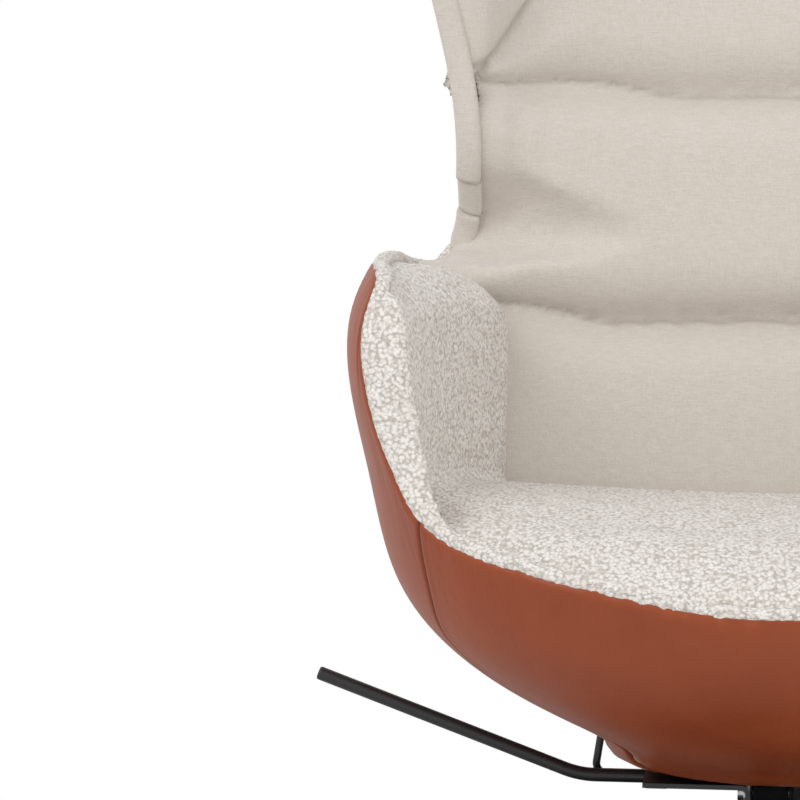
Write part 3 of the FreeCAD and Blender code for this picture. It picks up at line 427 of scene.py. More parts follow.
def cloth_material(colours, fabric):
    """Cream cloth of the back: a fine plain weave with a heathered thread."""
    material, tree, shader = new_material("cream_weave", colours.cloth, 0.92)
    shader.inputs["Sheen Weight"].default_value = 0.2
    shader.inputs["Sheen Roughness"].default_value = 0.55
    place = place_of(tree)
    across = noise(tree, stretched(tree, place, (90.0, 90.0, 700.0)), 1.0, 2.0)
    along = noise(tree, stretched(tree, place, (700.0, 700.0, 90.0)), 1.0, 2.0)
    threads = maths(tree, "ADD", across, along)
    heather = blend_colours(tree, remap(tree, threads, 0.75, 1.25), colours.cloth_deep, colours.cloth)
    # Painted shade: the cloth is darkened in the back's seams, where shade falls.
    sewn = blend_colours(tree, attribute(tree, "crease"), heather, colours.cloth_seam_shade)
    tree.links.new(sewn, shader.inputs["Base Color"])
    knots = cells(tree, place, 1 / fabric.weave, 0.7)
    height = maths(tree, "ADD", maths(tree, "MULTIPLY", threads, 0.6), maths(tree, "MULTIPLY", knots, -0.7))
    tree.links.new(bumped(tree, height, 0.5, 0.0010), shader.inputs["Normal"])
    return material


def plain_material(name, colour, roughness, metallic=0.0, grain=(300.0, 0.2, 0.0003), spread=0.15):
    """A finish with fine grain, a little drift of tone and uneven gloss."""
    material, tree, shader = new_material(name, colour, roughness)
    shader.inputs["Metallic"].default_value = metallic
    place = place_of(tree)
    drift = noise(tree, place, 14.0, 4.0)
    darker = tuple(c * (1 - spread) for c in colour)
    lighter = tuple(min(1.0, c * (1 + spread)) for c in colour)
    tone = blend_colours(tree, remap(tree, drift, 0.3, 0.7), darker, lighter)
    tree.links.new(tone, shader.inputs["Base Color"])
    tree.links.new(remap(tree, drift, 0.3, 0.7, roughness * 0.9, min(1.0, roughness * 1.1)),
                   shader.inputs["Roughness"])
    scale, strength, distance = grain
    tree.links.new(bumped(tree, noise(tree, place, scale, 3.0), strength, distance), shader.inputs["Normal"])
    return material


# Settings that a user would change

def length(name, text, value, **more):
    return FloatProperty(name=name, description=text, default=value, unit="LENGTH", min=0.0, **more)


def number(name, text, value, least=0.0):
    return FloatProperty(name=name, description=text, default=value, min=least)


def colour(name, text, value):
    return FloatVectorProperty(name=name, description=text, default=value, subtype="COLOR", size=3,
                               min=0, max=1)


class ShellSizes(PropertyGroup):
    """Leather panels."""
    leather: length("Leather", "Thickness of the leather with its backing", 0.002)
    seam_depth: length("Seam depth", "How far an edge dips into a seam", 0.0026)
    seam_width: length("Seam width", "How far from a seam the leather starts to dip", 0.0042)
    edge_round: length("Edge round", "Radius of the rim", 0.0045)
    turn_in: length("Turned edge", "How far the rim's leather turns inwards", 0.009)
    mesh_step: length("Mesh step", "Spacing of the panels' points", 0.006)


class PadSizes(PropertyGroup):
    """Padding."""
    voxel: length("Voxel", "Mesh size of the padding", 0.007)
    grow: length("Grow", "Growth of the solids before they are remeshed", 0.0004)
    swell: length("Swell", "Most that a point may move when the padding is inflated", 0.008)
    edge_hold: length("Edge hold", "Padding this near the rim is drawn on to it", 0.020)
    roll_width: length("Roll width", "Rolled edge, inwards from the leather", 0.012)
    roll_height: length("Roll height", "Rolled edge, along the shell", 0.012)
    seam_width: length("Seam width", "Half width of a sewn crease", 0.0042)
    seam_depth: length("Seam depth", "Depth of the back's seams", 0.009)
    knobs: length("Knobs", "How far the boucle's knots stand out", 0.0006)
    wall_gap: length("Wall gap", "Padding stays this far inside the shell", 0.0036)
    pressure: number("Pressure", "Inflation pressure of the padding", 4.0)
    frames: IntProperty(name="Frames", description="Frames of inflation", default=20, min=1, max=60)


class FabricSizes(PropertyGroup):
    """Texture of the coverings."""
    knot: length("Knot", "Size of the boucle's knots", 0.0036)
    weave: length("Weave", "Thread spacing of the back's cloth", 0.0014)
    leather_grain: length("Grain", "Pebbles of the leather", 0.0012)


class Colours(PropertyGroup):
    """Colours of the coverings."""
    leather: colour("Leather", "Lit leather", (0.285, 0.058, 0.016))
    leather_deep: colour("Deep leather", "Mottling of the leather", (0.240, 0.045, 0.011))
    # Painted highlight: lighter leather along the rounded rim.
    leather_rim_highlight: colour("Highlighted leather", "Leather along its edges", (0.33, 0.075, 0.024))
    leather_seam_shade: colour("Leather seam", "Shade in the leather's seams", (0.10, 0.022, 0.010))
    boucle: colour("Boucle", "Yarn of the seat and arms", (0.76, 0.715, 0.67))
    boucle_light: colour("Light boucle", "Lighter yarn", (0.82, 0.79, 0.745))
    boucle_gap_shade: colour("Boucle gaps", "Shade between the knots", (0.52, 0.475, 0.42))
    cloth: colour("Cloth", "Cloth of the back", (0.63, 0.578, 0.528))
    cloth_seam_shade: colour("Cloth seam", "Shade in the back's seams", (0.40, 0.355, 0.305))
    cloth_deep: colour("Deep cloth", "Darker thread of the back's cloth", (0.57, 0.518, 0.462))


class StageSizes(PropertyGroup):
    """Camera, floor and light."""
    eye: FloatVectorProperty(name="Camera", description="Place of the camera", default=(0.0, -3.2, 0.93),
                             subtype="TRANSLATION", size=3)
    look: FloatVectorProperty(name="Direction", description="Direction of the camera's view",
                              default=(-0.1159, 1.0, -0.1215), subtype="DIRECTION", size=3)
    lens: number("Lens", "Focal length in millimetres", 171.0, 1.0)
    room_light: number("Room light", "Strength of the even light", 0.80)
    key_light: number("Key light", "Power of the large lamp in watts", 42.0)
    fill_light: number("Fill light", "Power of the fill lamp in watts", 18.0)
    near_floor: length("Near floor", "The floor shows shadow within this radius", 0.50)
    far_floor: length("Far floor", "The floor is plain white beyond this radius", 0.86)


SETTINGS = {"rocker_shell": ShellSizes, "rocker_pads": PadSizes, "rocker_fabric": FabricSizes,
            "rocker_colours": Colours, "rocker_stage": StageSizes}
# Finishes of the plain slots: name, colour, roughness, metallic, and the grain's scale, strength, depth
PLAIN_FINISHES = {
    "black_steel": ("black_powder_coat", (0.012, 0.012, 0.013), 0.42, 0.0, (900.0, 0.25, 0.0002)),
    "black_fasteners": ("black_oxide", (0.03, 0.03, 0.032), 0.3, 0.7),
    "bright_steel": ("zinc_plate", (0.55, 0.56, 0.57), 0.28, 1.0),
    "carrier_iron": ("black_cast_iron", (0.02, 0.02, 0.021), 0.55, 0.2, (500.0, 0.5, 0.0005)),
    "nylon": ("natural_nylon", (0.66, 0.63, 0.56), 0.5),
    "black_rubber": ("black_rubber", (0.018, 0.018, 0.018), 0.8),
    "brake_lining": ("brake_lining", (0.12, 0.10, 0.09), 0.85, 0.0, (1500.0, 0.6, 0.0004)),
    "dust_cover": ("black_dust_cover", (0.02, 0.02, 0.02), 0.9, 0.0, (1200.0, 0.6, 0.0004)),
    "frame_ply": ("moulded_ply", (0.42, 0.27, 0.14), 0.6),
    "webbing": ("webbing", (0.08, 0.075, 0.07), 0.9, 0.0, (900.0, 0.6, 0.0006)),
}
COVERINGS = {"tan_leather": leather_material, "boucle": boucle_material, "cream_cloth": cloth_material}
FINISHES = {}


def finish(name):
    """The finished material of a slot, made once."""
    if name not in FINISHES:
        scene = bpy.context.scene
        if name in COVERINGS:
            FINISHES[name] = COVERINGS[name](scene.rocker_colours, scene.rocker_fabric)
        else:
            FINISHES[name] = plain_material(*PLAIN_FINISHES[name])
    return FINISHES[name]


def dress(piece, slot_name, body="chair"):
    """Gives a new piece its finish, its slot and the body that it moves with."""
    piece.data.materials.clear()
    piece.data.materials.append(finish(slot_name))
    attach(piece, body)


# Leather panels

def panel_inset(places, seams, rim, shell, raised=0.0):
    """Depth below the shell of a panel's points: a dip at each seam, a rounded rim.

    At a seam the dip falls off as a bell of the distance. At the rim it is the
    sagitta of a quarter round. The raised panel stands proud beside its seams.
    """
    wide, deep, turn = shell.seam_width / MM, shell.seam_depth / MM, shell.edge_round / MM
    inset, to_seam = np.zeros(len(places)), np.full(len(places), 99.0)
    for line in seams:
        far = nearest(places, line)
        to_seam = np.minimum(to_seam, far)
        inset += deep * np.exp(-(far / (wide / 2)) ** 2) - raised * np.exp(-((far - wide * 1.5) / wide) ** 2)
    far = nearest(places, rim)
    near = np.clip(turn - far, 0, turn)
    return inset + turn - np.sqrt(turn ** 2 - near ** 2), far, to_seam


def leather_panel(name, share, height, faces, edges, rim_rows, shell, raised=0.0):
    """A panel on the shell from shares and heights, with its rim turned inwards."""
    seams, rim = edges
    inset, to_rim, to_seam = panel_inset(unrolled(share, height), seams, rim, shell, raised)
    points = shell_place(share, height, inset)
    turn = shell.edge_round / MM
    depths = turn + np.array([2.0, 5.0, shell.turn_in / MM])
    rows, extra, count = [rim_rows], [], len(rim_rows)
    for k, depth in enumerate(depths):
        extra.append(shell_place(share[rim_rows], height[rim_rows], np.full(count, depth)))
        rows.append(len(points) + k * count + np.arange(count))
    all_points = np.concatenate([points] + extra)
    all_faces = np.concatenate([faces, grid_faces(np.stack(rows))])
    piece = build_mesh(name, all_points * MM, all_faces)
    # Mask of the painted highlight along the rim: 1 on the rounded edge, fading within about 5 mm of it.
    rim_highlight = np.exp(-(to_rim / 5) ** 2)
    drop = np.exp(-to_rim / 42) * np.clip(to_rim / 8, 0, 1)
    padding = np.zeros(len(all_points) - len(points))
    mark(piece.data, "edge", np.concatenate([rim_highlight, padding + 1]))
    mark(piece.data, "pull", np.concatenate([drop, padding]))
    # Mask of the painted shade in the leather's seams.
    mark(piece.data, "crease", np.concatenate([np.exp(-(to_seam / 1.8) ** 2), padding]))
    wall = piece.modifiers.new("Thickness", "SOLIDIFY")
    wall.thickness, wall.offset, wall.use_rim = shell.leather, -1, True
    return piece


def rim_corners():
    """Where the rim meets the apron's seam, turns up into the wing, and meets the back."""
    share, height = on_shell(RIM_LINE)
    front = crossing(share, seam_share(SEAM_LINE, height))
    aside = share - share_of(*map(np.array, VALLEY))
    valley = int(np.argmin(np.hypot(aside, (height - VALLEY[1]) / 600)))
    later = np.nonzero(height > VALLEY[1] + 80)[0][0]
    rear = later + crossing(share[later:], seam_share(REAR_LINE, height[later:]))
    return share, height, front, valley, rear


def seam_places(line, low, high, mirrored=False):
    height = np.linspace(low, high, SEAM_POINTS)
    return unrolled(seam_share(line, height) * (-1 if mirrored else 1), height)


def apron_panel(shell):
    """Front panel between the two slanting seams, from the underside to the front rim.

    Columns spread evenly from seam to seam at each height. Rows spread from the
    underside to the rim's height in their column.
    """
    rim_share, rim_height, front, _, _ = rim_corners()
    corner_share, corner_height = rim_share[front], rim_height[front]
    rim_share, rim_height = rim_share[:front + 1], rim_height[:front + 1]
    count = int(PANEL_WIDTH / (shell.mesh_step / MM))
    across = stations(2 * corner_share * half_round(corner_height), count, EDGE_STEPS) * 2 - 1
    top = np.interp(np.abs(across) * corner_share, rim_share, rim_height)
    rows = stations(top - UNDERSIDE, 44, EDGE_STEPS).T
    side_height = UNDERSIDE + (corner_height - UNDERSIDE) * rows[:, :1]
    share = across * seam_share(SEAM_LINE, side_height)
    height = UNDERSIDE + (top - UNDERSIDE) * rows
    index = np.arange(share.size).reshape(share.shape)
    rim = unrolled(np.concatenate([-rim_share[::-1], rim_share]),
                   np.concatenate([rim_height[::-1], rim_height]))
    seams = [seam_places(SEAM_LINE, UNDERSIDE, corner_height, side) for side in (False, True)]
    piece = leather_panel("apron_leather", share.ravel(), height.ravel(), grid_faces(index), (seams, rim),
                          index[-1], shell, raised=0.7)
    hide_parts("leather_apron")
    return piece


def side_panel(shell, side):
    """Side panel: the arm's outside and the wing above it, as one L-shaped grid.

    The arm's columns run from the apron's seam to the back's seam, and its rows
    from the underside to the rim. The last columns go on up the wing, between the
    rim and the back's seam.
    """
    rim_share, rim_height, front, valley, rear = rim_corners()
    valley_height = rim_height[valley]
    first, turn = rim_share[front], rim_share[valley]
    last = seam_share(REAR_LINE, np.array([valley_height]))[0]
    count = int(ARM_DEPTH / (shell.mesh_step / MM))
    arm = stations((turn - first) * half_round(valley_height), count, EDGE_STEPS)
    wing = stations((last - turn) * half_round(valley_height), 10, EDGE_STEPS)
    columns = np.concatenate([first + (turn - first) * arm, turn + (last - turn) * wing[1:]])
    top = np.interp(columns, rim_share[front:valley + 1], rim_height[front:valley + 1])
    top = np.where(columns > turn, valley_height, top)
    rows = stations(top - UNDERSIDE, 62, EDGE_STEPS).T
    front_height = UNDERSIDE + (rim_height[front] - UNDERSIDE) * rows[:, :1]
    rear_height = UNDERSIDE + (valley_height - UNDERSIDE) * rows[:, -1:]
    part = (columns - first) / (last - first)
    low, high = seam_share(SEAM_LINE, front_height), seam_share(REAR_LINE, rear_height)
    share, height = low + (high - low) * part, UNDERSIDE + (top - UNDERSIDE) * rows
    index = np.arange(share.size).reshape(share.shape)
    climb = np.arange(valley, rear, 3)
    wing_height = rim_height[climb][1:, None]
    low, high = rim_share[climb][1:, None], seam_share(REAR_LINE, wing_height)
    wing_share = low + (high - low) * wing
    wing_index = share.size + np.arange(wing_share.size).reshape(wing_share.shape)
    joined = np.concatenate([index[-1:, len(arm) - 1:], wing_index])
    faces = np.concatenate([grid_faces(index), grid_faces(joined)])
    all_share = np.concatenate([share.ravel(), wing_share.ravel()])
    all_height = np.concatenate([height.ravel(), (wing_height + 0 * wing_share).ravel()])
    rim = unrolled(rim_share[front:rear + 1], rim_height[front:rear + 1])
    seams = [seam_places(SEAM_LINE, UNDERSIDE, rim_height[front]),
             seam_places(REAR_LINE, UNDERSIDE, rim_height[rear])]
    rim_rows = np.concatenate([index[-1, :len(arm)], wing_index[:, 0]])
    if side == "right":
        all_share, faces = -all_share, faces[:, ::-1]
        rim, seams = rim * (-1, 1), [seam * (-1, 1) for seam in seams]
        rim_rows = rim_rows[::-1]
    piece = leather_panel("side_leather_" + side, all_share, all_height, faces, (seams, rim), rim_rows, shell)
    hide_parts("leather_side_" + side)
    return piece


def back_panel(shell):
    """Back panel between the two rear seams, from the underside to the top rim."""
    rim_share, rim_height, _, _, rear = rim_corners()
    corner_share, corner_height = rim_share[rear], rim_height[rear]
    rim_share, rim_height = rim_share[rear:], rim_height[rear:]
    half = (1 - corner_share) * half_round(corner_height)
    across = stations(2 * half, int(PANEL_WIDTH / (shell.mesh_step / MM)), EDGE_STEPS) * 2 - 1
    top = np.interp(1 - (1 - corner_share) * np.abs(across), rim_share, rim_height)
    rows = stations(top - UNDERSIDE, 120, EDGE_STEPS).T
    side_height = UNDERSIDE + (corner_height - UNDERSIDE) * rows[:, :1]
    share = 1 + across * (1 - seam_share(REAR_LINE, side_height))
    height = UNDERSIDE + (top - UNDERSIDE) * rows
    index = np.arange(share.size).reshape(share.shape)
    rim = unrolled(np.concatenate([rim_share, (2 - rim_share)[::-1]]),
                   np.concatenate([rim_height, rim_height[::-1]]))
    seam = np.linspace(UNDERSIDE, corner_height, SEAM_POINTS)
    seams = [seam_places(REAR_LINE, UNDERSIDE, corner_height), unrolled(2 - seam_share(REAR_LINE, seam), seam)]
    piece = leather_panel("back_leather", share.ravel(), height.ravel(), grid_faces(index), (seams, rim),
                          index[-1], shell, raised=0.4)
    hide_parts("leather_back")
    return piece


# Padding

def welded_copy(name, nodes, grow):
    """Copies of nodes' solids in one mesh: equal points merged, then moved out along their normals."""
    points, triangles, start = [], [], 0
    for node in nodes:
        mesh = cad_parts[node].data
        co = coordinates(mesh)
        mesh.calc_loop_triangles()
        faces = np.empty(len(mesh.loop_triangles) * 3, np.int32)
        mesh.loop_triangles.foreach_get("vertices", faces)
        _, first, same = np.unique(np.round(co / 1e-5).astype(np.int64), axis=0, return_index=True,
                                   return_inverse=True)
        faces = same.ravel()[faces].reshape(-1, 3)
        kept = (faces[:, 0] != faces[:, 1]) & (faces[:, 1] != faces[:, 2]) & (faces[:, 0] != faces[:, 2])
        points.append(co[first])
        triangles.append(faces[kept] + start)
        start += len(first)
    co, faces = np.concatenate(points), np.concatenate(triangles)
    a, b, c = co[faces[:, 0]], co[faces[:, 1]], co[faces[:, 2]]
    normal = np.zeros_like(co)
    for corner in range(3):
        np.add.at(normal, faces[:, corner], np.cross(b - a, c - a))
    normal /= np.linalg.norm(normal, axis=1, keepdims=True).clip(1e-12)
    return build_mesh(name, co + normal * grow, faces, smooth=False)


def applied(piece):
    """Replaces the mesh by what its modifiers make of it."""
    graph = bpy.context.evaluated_depsgraph_get()
    mesh = bpy.data.meshes.new_from_object(piece.evaluated_get(graph))
    piece.modifiers.clear()
    old, piece.data = piece.data, mesh
    bpy.data.meshes.remove(old)
    mesh.name = piece.name


def edge_pairs(mesh):
    pairs = np.empty(len(mesh.edges) * 2, np.int32)
    mesh.edges.foreach_get("vertices", pairs)
    return pairs.reshape(-1, 2)


def relaxed(co, pairs, rounds, share=0.5):
    """Moves each point part of the way to the mean of its neighbours, and most of that back again."""
    both = np.concatenate([pairs, pairs[:, ::-1]])
    count = np.bincount(both[:, 0], minlength=len(co)).clip(1)[:, None]
    for k in range(rounds * 2):
        total = [np.bincount(both[:, 0], co[both[:, 1], axis], len(co)) for axis in range(3)]
        mean = np.stack(total, -1) / count
        co = co + (mean - co) * (share if k % 2 == 0 else -share * 0.92)
    return co


def round_levels(co):
    """Points in millimetres, seen at their own level of the shell.

    Also gives the level's widest place, how far back of it each point is, its
    distance from the middle there, and its size: the superellipse's sum of powers,
    which is 1 on the shell and less inside it.
    """
    mm = co / MM
    wide, front, rear, middle, square = levels_at(mm[:, 2])
    back = mm[:, 1] - middle
    reach = np.where(back < 0, front + middle, rear - middle)
    size = ((np.abs(mm[:, 0]) / wide) ** square + (np.abs(back) / reach) ** square) ** (1 / square)
    return mm, middle, back, np.hypot(mm[:, 0], back), size


def inside_shell(co, gap):
    """Draws points in towards the shell's middle until they are that far inside it."""
    mm, middle, back, radius, size = round_levels(co)
    limit = 1 - gap / MM / (radius.clip(1) / size.clip(0.05))
    factor = np.minimum(1, limit / size.clip(1e-6))
    mm[:, 0] *= factor
    mm[:, 1] = middle + back * factor
    mm[:, 2] = np.minimum(mm[:, 2], CROWN - 1)
    return mm * MM


def inflated(piece, pads, weight):
    """Swells a pad with cloth under pressure, as far as the cap, where the weight lets it."""
    start = coordinates(piece.data)
    cloth = piece.modifiers.new("Swell", "CLOTH")
    cloth.settings.use_pressure = True
    cloth.settings.uniform_pressure_force = pads.pressure
    cloth.settings.effector_weights.gravity = 0
    scene = bpy.context.scene
    for step in range(1, pads.frames + 1):
        scene.frame_set(step)
    graph = bpy.context.evaluated_depsgraph_get()
    moved = coordinates(piece.evaluated_get(graph).data) - start
    piece.modifiers.clear()
    scene.frame_set(1)
    far = np.linalg.norm(moved, axis=1, keepdims=True).clip(1e-9)
    moved *= np.minimum(1, pads.swell / far)
    return start + moved * weight[:, None]


def eased(value):
    """0 below 0, 1 above 1, and a smooth step between."""
    value = np.clip(value, 0, 1)
    return value * value * (3 - 2 * value)


def rim_edge(out=1.0, forward=3.0):
    """The rim as points on both sides, a little inside the shell and before the leather's edge."""
    share, height = on_shell(RIM_LINE)
    left = shell_place(share, height, np.full(len(share), out))[::3] + (0, -forward, forward * 0.6)
    return np.concatenate([left, left * (-1, 1, 1)]) * MM


def depth_inside(co):
    """How far points lie inside the shell, about, in millimetres, measured level."""
    _, _, _, radius, size = round_levels(co)
    return (1 - size) * radius / size.clip(0.05)


def to_rim_edge(co, edge, reach, share=0.9):
    """Draws the points beside the shell's wall, near the rim, on to one clean line."""
    out, wall = co.copy(), eased(1.8 - depth_inside(co) / 9)
    places, line = co.astype(np.float32), edge.astype(np.float32)
    for chunk in np.array_split(np.arange(len(co)), max(1, len(co) // 2000)):
        far = np.sqrt(((places[chunk, None] - line[None]) ** 2).sum(-1))
        spot, least = far.argmin(1), far.min(1)
        part = (eased(1.35 - least / reach) * wall[chunk] * share)[:, None]
        out[chunk] = co[chunk] + (edge[spot] - co[chunk]) * part
    return out


def pad(name, nodes, slot_name, pads, rounds=4, weight=None, shape=None, finish_off=None):
    """A padded piece made from soft solids: remeshed, swollen, smoothed and kept inside the shell."""
    piece = welded_copy(name, nodes, pads.grow)
    remesh = piece.modifiers.new("Remesh", "REMESH")
    remesh.mode, remesh.voxel_size = "VOXEL", pads.voxel
    applied(piece)
    co = coordinates(piece.data)
    co = inflated(piece, pads, np.ones(len(co)) if weight is None else weight(co))
    pairs, edge = edge_pairs(piece.data), rim_edge()
    inner = np.clip(nearest(co, edge) / pads.edge_hold - 0.2, 0, 1)[:, None]
    co = relaxed(co, pairs, rounds) * inner + relaxed(co, pairs, 1) * (1 - inner)
    if shape is not None:
        co = shape(co)
    co = inside_shell(co, pads.wall_gap)
    co = to_rim_edge(co, edge, pads.edge_hold)
    co = relaxed(co, pairs, 1, 0.4)
    move_points(piece.data, co)
    finer = piece.modifiers.new("Finer", "SUBSURF")
    finer.levels = finer.render_levels = 1
    applied(piece)
    if finish_off is not None:
        finish_off(piece)
    piece.data.shade_smooth()
    dress(piece, slot_name)
    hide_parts(*nodes)
    return piece


def seam_height(across, seam):
    """Height of a seam of the back, in millimetres: it rises towards the wings."""
    height, rise, start, run = seam
    return height + rise * eased((np.abs(across) - start) / run)


def from_seams(co):
    """Distance from the nearest seam of the back, in millimetres."""
    mm = co / MM
    far = [np.abs(mm[:, 2] - seam_height(mm[:, 0], seam)) for seam in BACK_SEAMS]
    slant = np.abs(np.abs(mm[:, 0]) - np.interp(mm[:, 2], WING_SEAM[:, 0], WING_SEAM[:, 1])) * 0.8
    return np.minimum(np.minimum(*far), np.where(mm[:, 2] > WING_SEAM[0, 0], slant, 999))


def rim_back(height):
    """How far back the rim lies at a height over the arms."""
    climb = RIM_LINE[int(np.argmax((RIM_LINE[:, 0] > VALLEY[0] - 6) & (RIM_LINE[:, 1] > VALLEY[1]))):]
    return np.interp(height, climb[:, 1], climb[:, 0])


def wrapped_wings(co):
    """Brings the front of the back forward and out beside the shell's wall, over the frame's edge.

    The front lies some way behind the rim there, so points no deeper than that move
    on to the rim's level, and deeper ones keep their order behind them.
    """
    mm = co / MM
    wide, _, rear, middle, square = levels_at(mm[:, 2])
    target = rim_back(mm[:, 2]) - 7
    wall = wide * (1 - (np.abs(target - middle) / (rear - middle)).clip(0, 1) ** square) ** (1 / square)
    depth, inner = mm[:, 1] - target, wall - np.abs(mm[:, 0])
    above = eased((mm[:, 2] - 650) / 50) * eased(1 - (depth - 50) / 35)
    part = eased(1 - (inner - 22) / 60) * above
    mm[:, 1] -= np.clip(depth, 0, 34) * part
    mm[:, 0] += np.sign(mm[:, 0]) * np.maximum(0, inner - 5) * eased(1 - (inner - 24) / 22) * above
    return mm * MM


def settled_seat(co):
    """Lowers the seat's crest between the arms, most in the middle."""
    mm = co / MM
    drop = SEAT_DIP - SEAT_DIP_LOSS * (mm[:, 0] / 300) ** 2
    level = eased((mm[:, 2] - 425) / 30) * eased((525 - mm[:, 2]) / 30)
    part = eased((345 - np.abs(mm[:, 0])) / 40) * level * eased((mm[:, 1] + 270) / 90)
    mm[:, 2] -= drop * part
    return mm * MM


def sewn_channels(pads):
    """Presses the seams into the front of the back, and marks their creases for the painted shade in the
    cloth's seams.
    """
    def work(piece):
        co, normal = coordinates(piece.data), point_normals(piece.data)
        far = from_seams(co)
        front = eased(-normal[:, 1] * 2.5)
        width = pads.seam_width / MM
        sharp, soft = np.exp(-(far / width) ** 2), np.exp(-(far / (width * 3.2)) ** 2)
        depth = pads.seam_depth * (0.45 * sharp + 0.55 * soft)
        move_points(piece.data, co - normal * (depth * front)[:, None])
        # Mask of the painted shade in the seams' creases.
        mark(piece.data, "crease", np.exp(-(far / 1.9) ** 2) * front * 0.8)
    return work


def knobbly(pads):
    """Pushes points in and out by even random steps, like the knots of the yarn."""
    def work(piece):
        co, normal = coordinates(piece.data), point_normals(piece.data)
        steps = np.random.default_rng(11).uniform(-1, 1, len(co))
        move_points(piece.data, co + normal * (steps * pads.knobs)[:, None])
    return work


def edge_roll(name, slot_name, low, high, pads, knobs=0.0, breadth=1.0):
    """Rolled edge of the cover: a rounded section carried along the rim, on both sides at once.

    The path is the rim from one of its points to another, mirrored.
    At each place the section is a superellipse: its width lies along the shell's
    inward normal and starts at the leather, its height along the shell away from it.
    The section shrinks to a point at both ends of the path.
    """
    share, height = on_shell(RIM_LINE)
    share, height = share[low:high], height[low:high]
    if low == 0:
        share, height = np.concatenate([-share[::-1], share]), np.concatenate([height[::-1], height])
    else:
        share, height = np.concatenate([share, 2 - share[::-1]]), np.concatenate([height, height[::-1]])
    path, normal = shell_point(share, height), shell_normal(share, height)
    run = np.concatenate([[0], np.cumsum(np.linalg.norm(np.diff(path, axis=0), axis=1))])
    even = np.linspace(0, run[-1], int(run[-1] / ROLL_STEP))
    path, normal = (np.stack([np.interp(even, run, line[:, k]) for k in range(3)], -1)
                    for line in (path, normal))
    away = np.cross(normal, np.gradient(path, axis=0))
    away /= np.linalg.norm(away, axis=1, keepdims=True)
    forward_and_up = np.array([0, -0.6, 0.8])
    away *= np.sign(away @ forward_and_up)[:, None]
    turn = np.linspace(0, 2 * math.pi, 25)[:-1]
    wide, tall = pads.roll_width * breadth / MM / 2, pads.roll_height / MM / 2
    end = np.minimum(even, even[-1] - even)
    scale = np.sqrt(1 - (1 - np.clip(end / ROLL_TAPER, 0.001, 1)) ** 2)[:, None, None]
    c, s = (np.sign(part) * np.abs(part) ** ROLL_POWER for part in (np.cos(turn), np.sin(turn)))
    middle = path - normal * (wide + ROLL_GAP) + away * ROLL_LIFT
    section = normal[:, None] * (wide * c)[:, None] + away[:, None] * (tall * s)[:, None]
    rings = middle[:, None] + scale * section
    if knobs:
        steps = np.random.default_rng(5).uniform(-1, 1, rings.shape[:2] + (1,)) * knobs / MM
        rings += (rings - middle[:, None]) / (wide + tall) * 2 * steps
    index = np.arange(rings.shape[0] * rings.shape[1]).reshape(rings.shape[:2])
    closed = np.concatenate([index, index[:, :1]], axis=1)
    faces = grid_faces(closed).tolist() + [index[0].tolist(), index[-1][::-1].tolist()]
    piece = build_mesh(name, rings * MM, faces)
    mesh = bmesh.new()
    mesh.from_mesh(piece.data)
    bmesh.ops.recalc_face_normals(mesh, faces=mesh.faces)
    mesh.to_mesh(piece.data)
    mesh.free()
    dress(piece, slot_name)
    return piece


# Operators

class ROCKER_OT_leather(Operator):
    """Makes the leather panels: the apron, the two sides and the back"""
    bl_idname = "rocker.leather"
    bl_label = "Leather panels"

    def execute(self, context):
        shell = context.scene.rocker_shell
        sides = side_panel(shell, "left"), side_panel(shell, "right")
        for piece in (apron_panel(shell), *sides, back_panel(shell)):
            dress(piece, "tan_leather")
        return {"FINISHED"}


class ROCKER_OT_seat(Operator):
    """Makes the seat and the arms, which one boucle cover holds together"""
    bl_idname = "rocker.seat"
    bl_label = "Seat and arms"

    def execute(self, context):
        pads = context.scene.rocker_pads
        pad("seat_and_arms", ("seat_cushion", "arm_pad_left", "arm_pad_right"), "boucle", pads, rounds=6,
            shape=settled_seat, finish_off=knobbly(pads))
        edge_roll("seat_edge_roll", "boucle", 0, rim_corners()[3], pads, pads.knobs)
        return {"FINISHED"}


class ROCKER_OT_back(Operator):
    """Makes the padded channels of the back, the head and the wings"""
    bl_idname = "rocker.back"
    bl_label = "Back channels"

    def execute(self, context):
        pads = context.scene.rocker_pads
        nodes = ("lumbar_pad", "middle_pad", "head_pad", "wing_pad_left", "wing_pad_right")
        pad("channelled_back", nodes, "cream_cloth", pads, rounds=7, shape=wrapped_wings,
            weight=lambda co: eased(from_seams(co) / 45), finish_off=sewn_channels(pads))
        edge_roll("back_edge_roll", "cream_cloth", rim_corners()[3] - 6, None, pads, breadth=1.9)
        return {"FINISHED"}


class ROCKER_OT_frame(Operator):
    """Gives every carried-over part its finish"""
    bl_idname = "rocker.frame"
    bl_label = "Frame and mechanism"

    slots = {
        "black_steel": ("base_plate", "column_tube", "seat_pan", "lever", "lever_guide", "lever_bearing"),
        "black_fasteners": ("foot_bolts", "seat_bolts"),
        "bright_steel": ("spindle", "spindle_retainer", "tilt_axle", "brake_barrel", "axle_clips",
                         "bearing_screws"),
        "carrier_iron": ("tilt_carrier", "brake_sector"),
        "nylon": ("upper_bush", "lower_bush", "thrust_washer"),
        "black_rubber": ("floor_pad", "torsion_bush_left", "torsion_bush_right", "rock_stops"),
        "brake_lining": ("brake_shoe",),
        "dust_cover": ("underside_cover",),
        "frame_ply": ("shell_bowl", "back_frame", "side_frame_left", "side_frame_right"),
        "webbing": ("seat_webbing",),
    }

    def execute(self, context):
        for slot_name, nodes in self.slots.items():
            for node in nodes:
                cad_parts[node].data.materials.clear()
                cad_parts[node].data.materials.append(finish(slot_name))
        return {"FINISHED"}


class ROCKER_OT_stage(Operator):
    """Makes the floor, the lamps, the even light and the camera"""
    bl_idname = "rocker.stage"
    bl_label = "Stage"

    def execute(self, context):
        stage = context.scene.rocker_stage
        make_camera(stage)
        make_floor(stage)
        make_light(stage)
        return {"FINISHED"}


